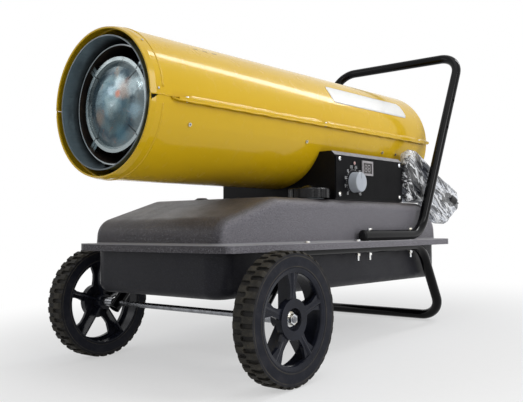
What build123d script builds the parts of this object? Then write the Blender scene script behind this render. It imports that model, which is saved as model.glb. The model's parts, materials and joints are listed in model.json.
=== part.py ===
from build123d import *
import math
import os

# Forced air heater: an oil burner in a long horizontal barrel, over a fuel tank on two wheels.
#
# The pieces are drawn level, with X across the heater (control panel at +X), Y back from the
# outlet, Z up and the axle along X at Y = 0. At the end the whole heater is turned about its axle
# until it stands on its tyres and its rear foot, and moved so that the origin is the middle of
# its footprint. Sizes are in millimetres, and angles round the barrel run from +X towards +Z.

# ------------------------------------------------------------------ fits and sheet
SEAT = 0.3            # gap between a curved face and what carries it
RUN_FIT = 0.06        # radial clearance of a shaft in its bore
SHELL_T = 1.0         # sheet of the barrel shells and the burner
TANK_T = 1.2          # sheet of the tank and the pedestal
ROD_CLEAR = 0.3       # radial clearance of a screw in its hole

# ------------------------------------------------------------------ wheels, axle and tubes
WHEEL_D = 250.0
TYRE_W = 45.7
TRACK = 595.2         # over the outer faces of the wheels
RIM_R = 93.7
SHOULDER = 4.0        # bevel of the tyre's edges
TREAD_N = 36          # cuts along each edge of the tyre
TREAD_W = 9.5
TREAD_L = 25.0
TREAD_DEPTH = 5.0
RING_IN = 84.0        # inside of the rim's front ring
RIM_WALL = 3.0
HUB_R = 38.0
HUB_FACE = 3.0        # hub, ring and spokes lie this far behind the tyre's face
HUB_T = 14.0
RECESS_R = 21.0
RECESS_DEPTH = 11.0
BOSS_R = 17.0
SPOKES = 5
SPOKE_HALF = 8.0
SPOKE_FLARE = 17.0
SPOKE_T = 10.0
RIDGE_R0 = 4.5
RIDGE_R1 = 8.0
RIB_T = 4.0
AXLE_D = 12.0
SPACER_R = 10.0
WASHER_R = 14.0
WASHER_T = 2.0
AXLE_NUT_AF = 18.0
AXLE_NUT_H = 8.0
TUBE_D = 25.0
TUBE_WALL = 1.5
TUBE_X = 208.0        # centre lines of the side tubes
TUBE_END = 17.0       # tube past the axle's centre

# support frame and handle, on the side tubes' centre lines (Y and Z)
FRONT_BEND_Y = 105.0
REAR_BEND_Y = 648.0
FOOT_Y = 760.0
FOOT_Z = 54.0
FRAME_BEND_R = 75.0
CORNER_R = 60.0
HANDLE_Y0 = 372.0
HANDLE_BEND_Y = 645.0
HANDLE_TOP_Y = 898.0
HANDLE_TOP_Z = 780.0
HOOK_HOLE_R = 4.0
HOOK_HOLE_Z = (564.0, 642.0)             # in the right leg
PLUG_CAP = 4.0        # head of a tube's end plug
PLUG_DEPTH = 18.0
BOLT_D = 6.0
BOLT_HEAD_R = 5.6
BOLT_HEAD_H = 3.6
NUT_AF = 10.0
NUT_H = 5.0
BOLT_TAIL = 11.0      # thread past a nut
FLANGE_BOLT_Y = (158.0, 350.0)
HANDLE_BOLT_Y = (400.0, 592.0)

# ------------------------------------------------------------------ tank
TANK_X = 188.0        # half width of both tank halves
TANK_Y0 = -85.0
TANK_Y1 = 778.0
TANK_TOP = 355.0
TANK_BOTTOM = 157.0
FLANGE_TOP = 260.5
FLANGE_X = 224.0
FLANGE_Y0 = -104.0
FLANGE_Y1 = 798.0
FLANGE_CORNER = 32.0
LIP_H = 15.0
NOSE_Z = 305.0
NOSE_DRAFT = 4.0
SLOPE_Y = 85.0
TAIL_Y = 712.0
TAIL_Z = 300.0
NOSE_R = 40.0
SLOPE_R = 70.0
SHOULDER_R = 22.0
BELLY_CORNER = 40.0
BELLY_R = 22.0
BOSS_AT = (-40.0, 100.0, 17.0, 3.5)      # stamped boss on the tank's top: X, Y, radius, height

# fuel filler
CAP_X = 140.0
CAP_Y = 257.0
CAP_R = 46.5
CAP_SKIRT = 21.0
CAP_WALL = 3.0
CAP_LOBES = 18
CAP_FLUTE = 1.6
CAP_DOME_R = 20.0
CAP_DOME_H = 8.0
CAP_LIFT = 2.5        # the skirt's lower edge above the tank
NECK_R = 26.0
NECK_WALL = 2.0
NECK_H = 17.0
COLLAR_R = 34.0
COLLAR_T = 1.5
STRAINER_R = 21.0
STRAINER_L = 82.0
STRAINER_T = 1.0
GASKET_T = 2.0
GASKET_IN = 19.0

# ------------------------------------------------------------------ barrel
BARREL_Z = 529.0
SHELL_R = 144.5
SHELL_Y0 = -209.0
SHELL_Y1 = 808.5
RIM_DROP = 2.7        # the front rim is drawn in by this
RIM_TAPER = 11.0
SIDE_FLANGE = 8.5
SIDE_FLANGE_Y = -150.0
SIDE_RAMP = 13.0
SIDE_LIP = 4.5
NOTCH_L = 18.0
NOTCH_H = 12.0
SCREW_D = 4.0
SCREW_HEAD_R = 3.6
SCREW_HEAD_H = 2.4
SCREW_L = 8.0
SHELL_SCREW_Y = (-127.0, 312.0, 757.0)
SIDE_SCREW_A = -18.0
SHIELD_SCREW_Y = (-111.0, 253.0)
MOTOR_SCREW_Y = (579.0, 645.0)
SLOT_A = 54.4
SLOT_Y = (-42.0, -15.0, 12.0)
SLOT_L = 14.0
SLOT_W = 3.0

SHIELD_GAP = 18.5     # heat shield inside the shell
SHIELD_Y0 = -206.0
SHIELD_Y1 = 296.0
CHAMBER_GAP = 12.0    # chamber inside the heat shield
CHAMBER_Y0 = -174.0
CHAMBER_Y1 = 286.0
BAFFLE_GAP = 22.0     # baffle inside the chamber
BAFFLE_LIP = 8.0
BAFFLE_DOME = 12.0
BAFFLE_RIM_L = 16.0
TAB_W = 16.0
TAB_L = 14.0
TAB_A = (45.0, 135.0, 225.0, 315.0)
BRACKET_W = 22.0
BRACKET_T = 2.0
FOOT_SPAN = 12.0      # degrees of shell under a bracket's foot

HEAD_R = 46.0
HEAD_L = 62.0
HEAD_SLOTS = 8
NOZZLE_R = 9.0
NOZZLE_L = 46.0
TIP_R = 4.0
ELECTRODE_R = 4.0
ELECTRODE_L = 66.0
ELECTRODE_X = 9.0
ELECTRODE_Z = 22.0
WIRE_R = 1.0
CELL_R = 7.0
CELL_L = 34.0
CELL_X = 28.0
CELL_Z = -18.0

FAN_GAP = 26.5        # blade tips inside the shell
FAN_Y = 440.0
FAN_HUB_R = 20.0
FAN_HUB_L = 30.0
FAN_BLADES = 5
FAN_CHORD0 = 38.0
FAN_CHORD1 = 72.0
FAN_PITCH0 = 42.0
FAN_PITCH1 = 24.0
BLADE_T = 2.0
SHAFT_D = 12.0
MOTOR_R = 60.0
MOTOR_Y0 = 484.0
MOTOR_Y1 = 622.0
MOTOR_T = 3.0
BELL_T = 5.0
STATOR_R = 37.0
STATOR_L = 78.0
ROTOR_R = 36.0
BEARING_R = 16.0
BEARING_W = 10.0
PUMP_R = 45.0
PUMP_L = 36.0
PUMP_BORE = 29.0
PUMP_ROTOR_R = 26.0
PUMP_ROTOR_L = 18.0
PUMP_OFFSET = 2.6
PUMP_SIDE = 0.5       # gap at each side of the pump's rotor
VANES = 4
VANE_T = 4.0
VANE_L = 14.0
FILTER_L = 14.0
COVER_L = 24.0
COVER_T = 2.0
GUARD_Y = 798.0
GUARD_RINGS = (34.0, 70.0, 106.0)
GUARD_SPOKES = 8
WIRE_D = 3.0
GUARD_RIM = 6.0

# hoses
HOSE_R = 4.0
HOSE_WALL = 1.2
HOSE_Y = 392.0
FUEL_HOSE_X = 52.0
AIR_HOSE_GAP = 16.5   # the air hose's centre line inside the shell
AIR_PORT = 10.0       # behind the burner head
HOSE_HOLE = 3.0       # room round a hose in the lower shell
LEAD_R = 3.0
LEAD_X = (-82.0, -70.0)
LEAD_Y = (392.0, 378.0)

# ------------------------------------------------------------------ pedestal and controls
PED_X = 173.0
PED_Y0 = 312.0
PED_Y1 = 615.0
PED_TOP = 467.0
PED_BEVEL = 9.0
PANEL_T = 2.0
PANEL_EDGE = 6.0      # frame of the pedestal's side round the panel's window
PANEL_SCREW_Y = (328.0, 599.0)
PANEL_SCREW_Z = (367.5, 449.0)
KNOB_Y = 386.7
KNOB_Z = 397.0
KNOB_R = 24.0
KNOB_L = 21.0
KNOB_TAPER = 1.2
KNOB_GAP = 0.8
SPINDLE_R = 3.0
THERMO_R = 18.0
THERMO_L = 22.0
DISPLAY_Y = (421.5, 469.5)
DISPLAY_Z = (415.5, 450.5)
DISPLAY_PROUD = 2.5
DISPLAY_RIM = 5.0
DISPLAY_DEPTH = 16.0
LAMP_Y = 389.0
LAMP_Z = 442.0
LAMP_R = 4.0
BOARD_T = 1.6
TRAFO = (94.0, 66.0, 36.0)               # ignition transformer: X, Y, Z
TRAFO_AT = (-113.0, 470.0)
GLAND_X = 140.0
GLAND_Z = 379.0
GLAND_R = 9.0
GLAND_L = 12.0
RELIEF_L = 24.0

# ------------------------------------------------------------------ power cord
CORD_D = 7.0
HANK_AT = (170.5, 682.0, 419.5)
HANK_LEAN = 53.0      # long axis of the hank below the horizontal, towards the rear
HANK_RUN = 48.0       # straight runs of its loops
HANK_R = 38.0         # its largest loop
HANK_STEP = 7.6       # from one turn or layer to the next
HANK_HALF_TURNS = 5   # in each of the two layers
PLUG_R = 15.5
PLUG_L = 46.0
PIN_R = 2.4
PIN_L = 19.0
PIN_GAP = 19.0
# first stretch, after the strain relief, and second stretch, up to the plug; chosen by hand
CORD_TAIL = [(140.5, 671.0, 378.0), (146.0, 692.0, 366.0), (155.0, 716.0, 365.2), (160.0, 731.3, 374.7),
             (164.5, 739.2, 390.9)]
PLUG_LEAD = [(175.0, 758.0, 394.0), (175.6, 794.0, 396.0)]
PLUG_AT = (175.6, 858.0, 378.0)
PLUG_DIP = 17.0       # the plug points this far below the horizontal
# outline of the clear bag, from its lower front corner: Y and Z
BAG_OUTLINE = [(621.0, 355.3), (621.0, 440.0), (634.0, 490.0), (668.0, 498.0), (770.0, 452.0), (870.0, 415.0),
               (926.0, 396.0), (928.0, 340.0), (850.0, 297.0), (800.0, 299.0), (777.0, 301.0), (716.0, 355.3)]
BAG_X = (152.5, 193.5)
BAG_T = 0.8
BAG_ENTRY_Y = (680.0, 726.0)
BAG_MOUTH_Z = (342.0, 392.0)

# ------------------------------------------------------------------ worked-out sizes
AXLE_Z = WHEEL_D / 2
TUBE_R = TUBE_D / 2
PLATE_Z = FLANGE_TOP - TANK_T                    # where the two tank halves meet
FRAME_Z = FLANGE_TOP - 2 * TANK_T - TUBE_R - SEAT
HANDLE_Z = FLANGE_TOP + TUBE_R + SEAT
WHEEL_X = TRACK / 2 - TYRE_W / 2
HUB_BACK = WHEEL_X - TYRE_W / 2
SHELL_IN = SHELL_R - SHELL_T
SHIELD_R = SHELL_R - SHIELD_GAP
CHAMBER_R = SHIELD_R - CHAMBER_GAP
BAFFLE_R = CHAMBER_R - BAFFLE_GAP
FAN_R = SHELL_R - FAN_GAP
AIR_HOSE_R = SHELL_R - AIR_HOSE_GAP
FRAME_BOTTOM = FRAME_Z - TUBE_R
NECK_TOP = TANK_TOP + NECK_H
CAP_CEILING = NECK_TOP + STRAINER_T + GASKET_T
CAP_BASE = TANK_TOP + CAP_LIFT
PUMP_Y1 = MOTOR_Y1 + PUMP_L
COVER_Y1 = PUMP_Y1 + COVER_L
STANCE = math.degrees(math.asin((AXLE_Z - TUBE_R) / math.hypot(FOOT_Y, AXLE_Z - FOOT_Z))
                      - math.atan2(AXLE_Z - FOOT_Z, FOOT_Y))


# ------------------------------------------------------------------ shapes used all over
def block(x, y, z):
    """A box between pairs of X, Y and Z."""
    middle = [(low + high) / 2 for low, high in (x, y, z)]
    return Pos(*middle) * Box(x[1] - x[0], y[1] - y[0], z[1] - z[0])


def rod_x(radius, x, y, z):
    return Pos((x[0] + x[1]) / 2, y, z) * Rot(0, 90, 0) * Cylinder(radius, x[1] - x[0])


def rod_y(radius, x, y, z):
    return Pos(x, (y[0] + y[1]) / 2, z) * Rot(90, 0, 0) * Cylinder(radius, y[1] - y[0])


def rod_z(radius, x, y, z):
    return Pos(x, y, (z[0] + z[1]) / 2) * Cylinder(radius, z[1] - z[0])


def nut_z(across, bore, x, y, z):
    """A hexagon nut with its bore along Z."""
    hexagon = RegularPolygon(across / 2, 6, major_radius=False) - Circle(bore)
    return Pos(x, y, z[0]) * extrude(hexagon, z[1] - z[0])


def turned(points, start=0.0, span=360.0):
    """A profile of (Y, radius) points turned about the barrel's axis, from an angle over a span."""
    a = math.radians(start)
    plane = Plane(origin=(0, 0, BARREL_Z), x_dir=(0, 1, 0), z_dir=(math.sin(a), 0, -math.cos(a)))
    profile = plane * make_face(Polyline(*points, close=True))
    return revolve(profile, Axis((0, 0, BARREL_Z), (0, -1, 0)), span)


def band(y, radii, start=0.0, span=360.0):
    """A ring, or part of one, about the barrel's axis."""
    return turned([(y[0], radii[0]), (y[1], radii[0]), (y[1], radii[1]), (y[0], radii[1])], start, span)


def about_barrel(shape, angle):
    """Turns a shape drawn at +X, level with the barrel's axis, round that axis."""
    return Pos(0, 0, BARREL_Z) * Rot(0, -angle, 0) * Pos(0, 0, -BARREL_Z) * shape


def along_barrel(shape, y):
    """Puts a shape drawn about +Z on the barrel's axis, with its +Z towards the rear."""
    return Pos(0, y, BARREL_Z) * Rot(-90, 0, 0) * shape


def both_sides(shape):
    """The shape and its mirror image in the mid-plane."""
    return [shape, mirror(shape, about=Plane.YZ)]


def group(shapes):
    solids = []
    for shape in shapes:
        solids.extend(shape.solids())
    return Compound(solids) if len(solids) > 1 else solids[0]


def piped(path, radius, wall=0.0):
    """A rod or a tube along a path."""
    start = Plane(origin=path @ 0, z_dir=path % 0)
    rod = sweep(start * Circle(radius), path)
    if wall:
        rod = rod - sweep(start * Circle(radius - wall), path)
    return rod


# ------------------------------------------------------------------ wheels
def wheel_section(points):
    """A profile of (radius, height) points turned about Z; the wheel's outer face is at +Z."""
    return revolve(Plane.XZ * make_face(Polyline(*points, close=True)), Axis.Z)


def tyre():
    half, top, inner = TYRE_W / 2, WHEEL_D / 2, RIM_R + SEAT
    ring = wheel_section([(inner, -half + 1), (inner, half - 1), (inner + 2, half), (top - SHOULDER, half),
                          (top, half - SHOULDER), (top, SHOULDER - half), (top - SHOULDER, -half),
                          (inner + 2, -half)])
    depth = TREAD_DEPTH + 1
    straight = TREAD_L - TREAD_W / 2
    cut = Pos(top - TREAD_DEPTH + depth / 2, 0, half - straight / 2 + 1) * Box(depth, TREAD_W, straight + 2)
    cut += Pos(top - TREAD_DEPTH + depth / 2, 0, half - straight) * Rot(0, 90, 0) * Cylinder(TREAD_W / 2, depth)
    pitch = 360 / TREAD_N
    cuts = [Rot(0, 0, pitch * i) * cut for i in range(TREAD_N)]
    cuts += [Rot(0, 0, pitch * (i + 0.5)) * mirror(cut, about=Plane.XY) for i in range(TREAD_N)]
    return ring - cuts


def rim():
    half = TYRE_W / 2
    face = half - HUB_FACE
    barrel_r = RIM_R - RIM_WALL
    ring = wheel_section([(RIM_R, -half + 1), (RIM_R, half - 1), (RIM_R - 2, half - 1), (RING_IN + 1, face),
                          (RING_IN, face - 2), (RING_IN, face - SPOKE_T), (barrel_r, face - SPOKE_T - 4),
                          (barrel_r, -half + 1)])
    ring = Rot(0, 0, 90) * ring
    hub = Pos(0, 0, face - HUB_T / 2) * Cylinder(HUB_R, HUB_T) + Pos(0, 0, -HUB_FACE / 2) * Cylinder(
        BOSS_R, TYRE_W - HUB_FACE)
    flare = make_face(Polyline((BOSS_R, -10), (HUB_R, -10), (50, -SPOKE_HALF), (62, -SPOKE_HALF),
                               (RING_IN + 1.5, -SPOKE_FLARE), (RING_IN + 1.5, SPOKE_FLARE),
                               (62, SPOKE_HALF), (50, SPOKE_HALF), (HUB_R, 10), (BOSS_R, 10), close=True))
    spoke = Pos(0, 0, face - SPOKE_T) * extrude(flare, SPOKE_T - 3)
    ridge_x = (HUB_R - 4, RING_IN + 4)
    ridge_l = ridge_x[1] - ridge_x[0]
    ridge = Rot(0, 90, 0) * Cone(RIDGE_R0, RIDGE_R1, ridge_l)
    ridge = Pos(ridge_x[0] + ridge_l / 2, 0, face - RIDGE_R1 + 0.5) * ridge
    spoke += ridge & block(ridge_x, (-RIDGE_R1, RIDGE_R1), (face - SPOKE_T + 2, face + 2))
    rib_z = (-half + 6, face - SPOKE_T)
    spoke += block((BOSS_R - 2, barrel_r + 1), (-RIB_T / 2, RIB_T / 2), rib_z)
    wheel = ring + hub + [Rot(0, 0, 180 + 360 / SPOKES * i) * spoke for i in range(SPOKES)]
    wheel -= Pos(0, 0, face - RECESS_DEPTH / 2) * Cylinder(RECESS_R, RECESS_DEPTH)
    return wheel - Cylinder(AXLE_D / 2 + RUN_FIT, TYRE_W * 2)


def on_axle(shape):
    """Puts a shape drawn about +Z at the right-hand wheel, with its +Z outward."""
    return Pos(WHEEL_X, 0, AXLE_Z) * Rot(0, 90, 0) * shape


RECESS_FLOOR = WHEEL_X + TYRE_W / 2 - HUB_FACE - RECESS_DEPTH


def axle():
    end = RECESS_FLOOR + WASHER_T + AXLE_NUT_H + 3
    bar = rod_x(AXLE_D / 2, (-end, end), 0, AXLE_Z)
    return chamfer(bar.edges().filter_by(GeomType.CIRCLE), 1.0)


def axle_spacers():
    """Sleeves that keep the hubs off the frame's tubes."""
    x = (TUBE_X + TUBE_R + SEAT, HUB_BACK - SEAT)
    sleeve = rod_x(SPACER_R, x, 0, AXLE_Z) - rod_x(AXLE_D / 2 + RUN_FIT, x, 0, AXLE_Z)
    return group(both_sides(sleeve))


def axle_washers():
    x = (RECESS_FLOOR + SEAT / 2, RECESS_FLOOR + SEAT / 2 + WASHER_T)
    washer = rod_x(WASHER_R, x, 0, AXLE_Z) - rod_x(AXLE_D / 2 + RUN_FIT, x, 0, AXLE_Z)
    return group(both_sides(washer))


def axle_nuts():
    start = RECESS_FLOOR + SEAT / 2 + WASHER_T
    nut = Rot(0, 90, 0) * nut_z(AXLE_NUT_AF, AXLE_D / 2 + RUN_FIT, 0, 0, (0, AXLE_NUT_H))
    return group(both_sides(Pos(start, 0, AXLE_Z) * nut))


# ------------------------------------------------------------------ frame, handle and their bolts
def bolt_holes(y_list, radius=BOLT_D / 2 + ROD_CLEAR):
    """Drills through tubes and flanges at both side tubes."""
    holes = []
    for y in y_list:
        holes += both_sides(rod_z(radius, TUBE_X, y, (FRAME_BOTTOM - 5, HANDLE_Z + TUBE_R + 5)))
    return holes


def support_frame():
    """One bent tube: from the axle up under the tank's flange, back, down and across as the rear foot."""
    rise = math.hypot(FRONT_BEND_Y, FRAME_Z - AXLE_Z)
    dy, dz = FRONT_BEND_Y / rise * TUBE_END, (FRAME_Z - AXLE_Z) / rise * TUBE_END
    side = [(-dy, AXLE_Z - dz), (FRONT_BEND_Y, FRAME_Z), (REAR_BEND_Y, FRAME_Z), (FOOT_Y, FOOT_Z)]
    points = [(TUBE_X, y, z) for y, z in side] + [(-TUBE_X, y, z) for y, z in reversed(side)]
    bends = [FRAME_BEND_R, FRAME_BEND_R, CORNER_R]
    path = FilletPolyline(*points, radius=bends + bends[::-1])
    tube = piped(path, TUBE_R, TUBE_WALL)
    tube -= rod_x(AXLE_D / 2 + RUN_FIT, (-TRACK, TRACK), 0, AXLE_Z)
    return tube - bolt_holes(FLANGE_BOLT_Y + HANDLE_BOLT_Y)


def handle_leg_y(z):
    """Y of the handle leg's centre line at a height."""
    return HANDLE_BEND_Y + (z - HANDLE_Z) * (HANDLE_TOP_Y - HANDLE_BEND_Y) / (HANDLE_TOP_Z - HANDLE_Z)


def handle_tube():
    side = [(HANDLE_Y0, HANDLE_Z), (HANDLE_BEND_Y, HANDLE_Z), (HANDLE_TOP_Y, HANDLE_TOP_Z)]
    points = [(TUBE_X, y, z) for y, z in side] + [(-TUBE_X, y, z) for y, z in reversed(side)]
    bends = [FRAME_BEND_R, CORNER_R]
    path = FilletPolyline(*points, radius=bends + bends[::-1])
    tube = piped(path, TUBE_R, TUBE_WALL)
    across = (TUBE_X - TUBE_D, TUBE_X + TUBE_D)
    tube -= [rod_x(HOOK_HOLE_R, across, handle_leg_y(z), z) for z in HOOK_HOLE_Z]
    return tube - bolt_holes(HANDLE_BOLT_Y)


def handle_plugs():
    bore = TUBE_R - TUBE_WALL
    cap = turned_plug([(0, -PLUG_CAP), (TUBE_R * 0.6, -PLUG_CAP * 0.8), (TUBE_R - 1, -PLUG_CAP * 0.3), (TUBE_R, 0),
                       (bore - RUN_FIT, 0), (bore - RUN_FIT, PLUG_DEPTH), (0, PLUG_DEPTH)])
    return group(both_sides(Pos(TUBE_X, HANDLE_Y0, HANDLE_Z) * Rot(-90, 0, 0) * cap))


def turned_plug(points):
    return revolve(Plane.XZ * make_face(Polyline(*points, close=True)), Axis.Z)


def frame_bolts():
    """Pan-headed bolts down through the frame's tube: at the flange, and through the handle's feet."""
    tail = FRAME_BOTTOM - SEAT - NUT_H - BOLT_TAIL
    shapes = []
    for y_list, head_z in ((FLANGE_BOLT_Y, FLANGE_TOP), (HANDLE_BOLT_Y, HANDLE_Z + TUBE_R + SEAT)):
        for y in y_list:
            bolt = rod_z(BOLT_D / 2, TUBE_X, y, (tail, head_z + 1))
            bolt += rod_z(BOLT_HEAD_R, TUBE_X, y, (head_z, head_z + BOLT_HEAD_H))
            shapes += both_sides(bolt)
    return group(shapes)


def frame_nuts():
    z = (FRAME_BOTTOM - SEAT - NUT_H, FRAME_BOTTOM - SEAT)
    nuts = []
    for y in FLANGE_BOLT_Y + HANDLE_BOLT_Y:
        nuts += both_sides(nut_z(NUT_AF, BOLT_D / 2 + RUN_FIT, TUBE_X, y, z))
    return group(nuts)


# ------------------------------------------------------------------ tank
def flange_plate(z, inset=0.0):
    middle = (FLANGE_Y0 + FLANGE_Y1) / 2
    outline = RectangleRounded(2 * (FLANGE_X - inset), FLANGE_Y1 - FLANGE_Y0 - 2 * inset, FLANGE_CORNER - inset)
    return Pos(0, middle, z[0]) * extrude(outline, z[1] - z[0])


def upper_form(inset, floor):
    """The upper half's raised body; the cavity is the same form, set in by the sheet."""
    deep = 20.0
    nose = NOSE_DRAFT * deep / (NOSE_Z - PLATE_Z)
    tail = NOSE_DRAFT * deep / (TAIL_Z - PLATE_Z)
    low = PLATE_Z - deep
    outline = make_face(Polyline((TANK_Y0 - nose, low), (TANK_Y0 + NOSE_DRAFT, NOSE_Z), (SLOPE_Y, TANK_TOP),
                                 (TAIL_Y, TANK_TOP), (TANK_Y1 - NOSE_DRAFT, TAIL_Z), (TANK_Y1 + tail, low),
                                 close=True))
    outline = fillet([v for v in outline.vertices() if PLATE_Z < v.Y < TANK_TOP - 1], NOSE_R)
    outline = fillet([v for v in outline.vertices() if abs(v.Y - TANK_TOP) < 0.01], SLOPE_R)
    if inset:
        outline = offset(outline, -inset)
    outline -= Pos(SLOPE_Y, floor - 100) * Rectangle(2000, 200)
    body = extrude(Plane.YZ * outline, TANK_X - inset, both=True)
    side = TANK_X - inset
    edges = [e for e in body.edges() if abs(abs(e.center().X) - side) < 0.01 and e.center().Z > floor + 0.5]
    return fillet(edges, SHOULDER_R - inset)


def lower_form(inset):
    middle = (TANK_Y0 + TANK_Y1) / 2
    outline = RectangleRounded(2 * (TANK_X - inset), TANK_Y1 - TANK_Y0 - 2 * inset, BELLY_CORNER - inset)
    floor = TANK_BOTTOM + inset
    body = Pos(0, middle, floor) * extrude(outline, PLATE_Z - floor)
    return fillet(body.faces().sort_by(Axis.Z)[0].edges(), BELLY_R - inset)


def tank_upper():
    x, y, radius, height = BOSS_AT
    shell = upper_form(0.0, PLATE_Z) + flange_plate((PLATE_Z, FLANGE_TOP))
    shell += Pos(x, y, TANK_TOP + height / 2 - 0.5) * Cone(radius, radius * 0.6, height + 1)
    shell += flange_plate((FLANGE_TOP - LIP_H, FLANGE_TOP)) - flange_plate((FLANGE_TOP - LIP_H - 1, FLANGE_TOP + 1), TANK_T)
    shell -= upper_form(TANK_T, PLATE_Z - 3)
    shell -= rod_z(NECK_R + SEAT, CAP_X, CAP_Y, (TANK_TOP - 20, TANK_TOP + 20))
    shell -= rod_z(HOSE_R + SEAT, FUEL_HOSE_X, HOSE_Y, (TANK_TOP - 20, TANK_TOP + 20))
    return shell - bolt_holes(FLANGE_BOLT_Y + HANDLE_BOLT_Y)


def tank_lower():
    shell = lower_form(0.0) + flange_plate((PLATE_Z - TANK_T, PLATE_Z), TANK_T + SEAT)
    shell -= lower_form(TANK_T)
    shell -= block((-TANK_X + TANK_T, TANK_X - TANK_T), (TANK_Y0 + BELLY_CORNER, TANK_Y1 - BELLY_CORNER),
                   (PLATE_Z - TANK_T, PLATE_Z + 1))
    return shell - bolt_holes(FLANGE_BOLT_Y + HANDLE_BOLT_Y)


def filler_neck():
    neck = rod_z(NECK_R, CAP_X, CAP_Y, (TANK_TOP - 6, NECK_TOP)) + rod_z(COLLAR_R, CAP_X, CAP_Y,
                                                                       (TANK_TOP, TANK_TOP + COLLAR_T))
    return neck - rod_z(NECK_R - NECK_WALL, CAP_X, CAP_Y, (TANK_TOP - 10, NECK_TOP + 1))


def fuel_strainer():
    """A cup of gauze that hangs in the neck by its rim."""
    bottom = NECK_TOP - STRAINER_L
    cup = rod_z(STRAINER_R, CAP_X, CAP_Y, (bottom, NECK_TOP + STRAINER_T)) + rod_z(NECK_R - 0.5, CAP_X, CAP_Y,
                                                                               (NECK_TOP, NECK_TOP + STRAINER_T))
    return cup - rod_z(STRAINER_R - STRAINER_T, CAP_X, CAP_Y, (bottom + STRAINER_T, NECK_TOP + 5))


def cap_gasket():
    z = (NECK_TOP + STRAINER_T, CAP_CEILING)
    return rod_z(NECK_R - 0.5, CAP_X, CAP_Y, z) - rod_z(GASKET_IN, CAP_X, CAP_Y, z)


def fuel_cap():
    """A fluted screw cap with a low dome on its top."""
    top = CAP_BASE + CAP_SKIRT
    body = Cylinder(CAP_R, CAP_SKIRT)
    body = chamfer(body.edges().filter_by(GeomType.CIRCLE).sort_by(Axis.Z)[-1], 2.0)
    flute = Pos(CAP_R + CAP_FLUTE, 0, 0) * Box(CAP_FLUTE * 4, CAP_FLUTE * 2, CAP_SKIRT * 2)
    body -= [Rot(0, 0, 360 / CAP_LOBES * i) * flute for i in range(CAP_LOBES)]
    cap = Pos(CAP_X, CAP_Y, CAP_BASE + CAP_SKIRT / 2) * body
    dome_r = (CAP_DOME_R ** 2 + CAP_DOME_H ** 2) / (2 * CAP_DOME_H)
    dome = Pos(CAP_X, CAP_Y, top + CAP_DOME_H - dome_r) * Sphere(dome_r)
    cap += dome & block((0, TRACK), (0, TANK_Y1), (top - 1, top + CAP_DOME_H + 1))
    hollow = rod_z(CAP_R - CAP_WALL, CAP_X, CAP_Y, (CAP_BASE - 1, CAP_CEILING))
    sleeve = rod_z(NECK_R + 4, CAP_X, CAP_Y, (CAP_BASE + 2, CAP_CEILING))
    return cap - (hollow - sleeve) - rod_z(NECK_R + 1, CAP_X, CAP_Y, (CAP_BASE - 2, CAP_CEILING))


# ------------------------------------------------------------------ barrel shells
def half_shell(sign):
    """Upper (+1) or lower (-1) half of the barrel, with its side flanges."""
    outer = [(SHELL_Y0, SHELL_R - RIM_DROP), (SHELL_Y0 + RIM_TAPER, SHELL_R), (SHELL_Y1, SHELL_R)]
    inner = [(y, r - SHELL_T) for y, r in reversed(outer)]
    start = 0.0 if sign > 0 else 180.0
    shell = turned(outer + inner, start, 180.0)
    reach = SHELL_R + SIDE_FLANGE - (0 if sign > 0 else SHELL_T)
    wing = make_face(Polyline((SHELL_IN, SIDE_FLANGE_Y - SIDE_RAMP), (reach, SIDE_FLANGE_Y), (reach, SHELL_Y1),
                              (SHELL_IN, SHELL_Y1), close=True))
    z = BARREL_Z if sign > 0 else BARREL_Z - SHELL_T
    wing = Pos(0, 0, z) * extrude(wing, SHELL_T)
    if sign > 0:
        wing += block((reach - SHELL_T, reach), (SIDE_FLANGE_Y, SHELL_Y1), (BARREL_Z - SIDE_LIP, BARREL_Z + SHELL_T))
    for side in both_sides(wing):
        shell += side
    bore = rod_y(SHELL_IN, 0, (SHELL_Y0 + RIM_TAPER, SHELL_Y1 + 1), BARREL_Z)
    return shell - bore


def shell_screw_holes():
    x = SHELL_R + SIDE_FLANGE / 2
    holes = []
    for y in SHELL_SCREW_Y:
        holes += both_sides(rod_z(SCREW_D / 2 + ROD_CLEAR, x, y, (BARREL_Z - 10, BARREL_Z + 10)))
    return holes


def upper_shell():
    slot = block((SHELL_R - 6, SHELL_R + 6), (-SLOT_L / 2, SLOT_L / 2), (BARREL_Z - SLOT_W / 2, BARREL_Z + SLOT_W / 2))
    slots = [about_barrel(Pos(0, y, 0) * slot, SLOT_A) for y in SLOT_Y]
    return half_shell(1) - shell_screw_holes() - slots


def side_screws_at(y_list):
    """Angles and places of the screws in the lower shell's sides."""
    return [(a, y) for a in (SIDE_SCREW_A, 180 - SIDE_SCREW_A) for y in y_list]


def lower_shell():
    shell = half_shell(-1) - shell_screw_holes()
    notch = Plane.YZ * make_face(Polyline((SHELL_Y0 - 1, BARREL_Z + 1), (SHELL_Y0 + NOTCH_L, BARREL_Z + 1),
                                          (SHELL_Y0 - 1, BARREL_Z - NOTCH_H), close=True))
    shell -= extrude(notch, SHELL_R + 20, both=True)
    for a, y in side_screws_at(SHIELD_SCREW_Y + MOTOR_SCREW_Y):
        shell -= about_barrel(rod_x(SCREW_D / 2 + ROD_CLEAR, (SHELL_R - 8, SHELL_R + 8), y, BARREL_Z), a)
    for x, y, r in ((FUEL_HOSE_X, HOSE_Y, HOSE_R), (sum(LEAD_X) / 2, sum(LEAD_Y) / 2, 4 * LEAD_R)):
        shell -= rod_z(r + HOSE_HOLE, x, y, (BARREL_Z - SHELL_R - 5, BARREL_Z - SHELL_R / 2))
    return shell


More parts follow.
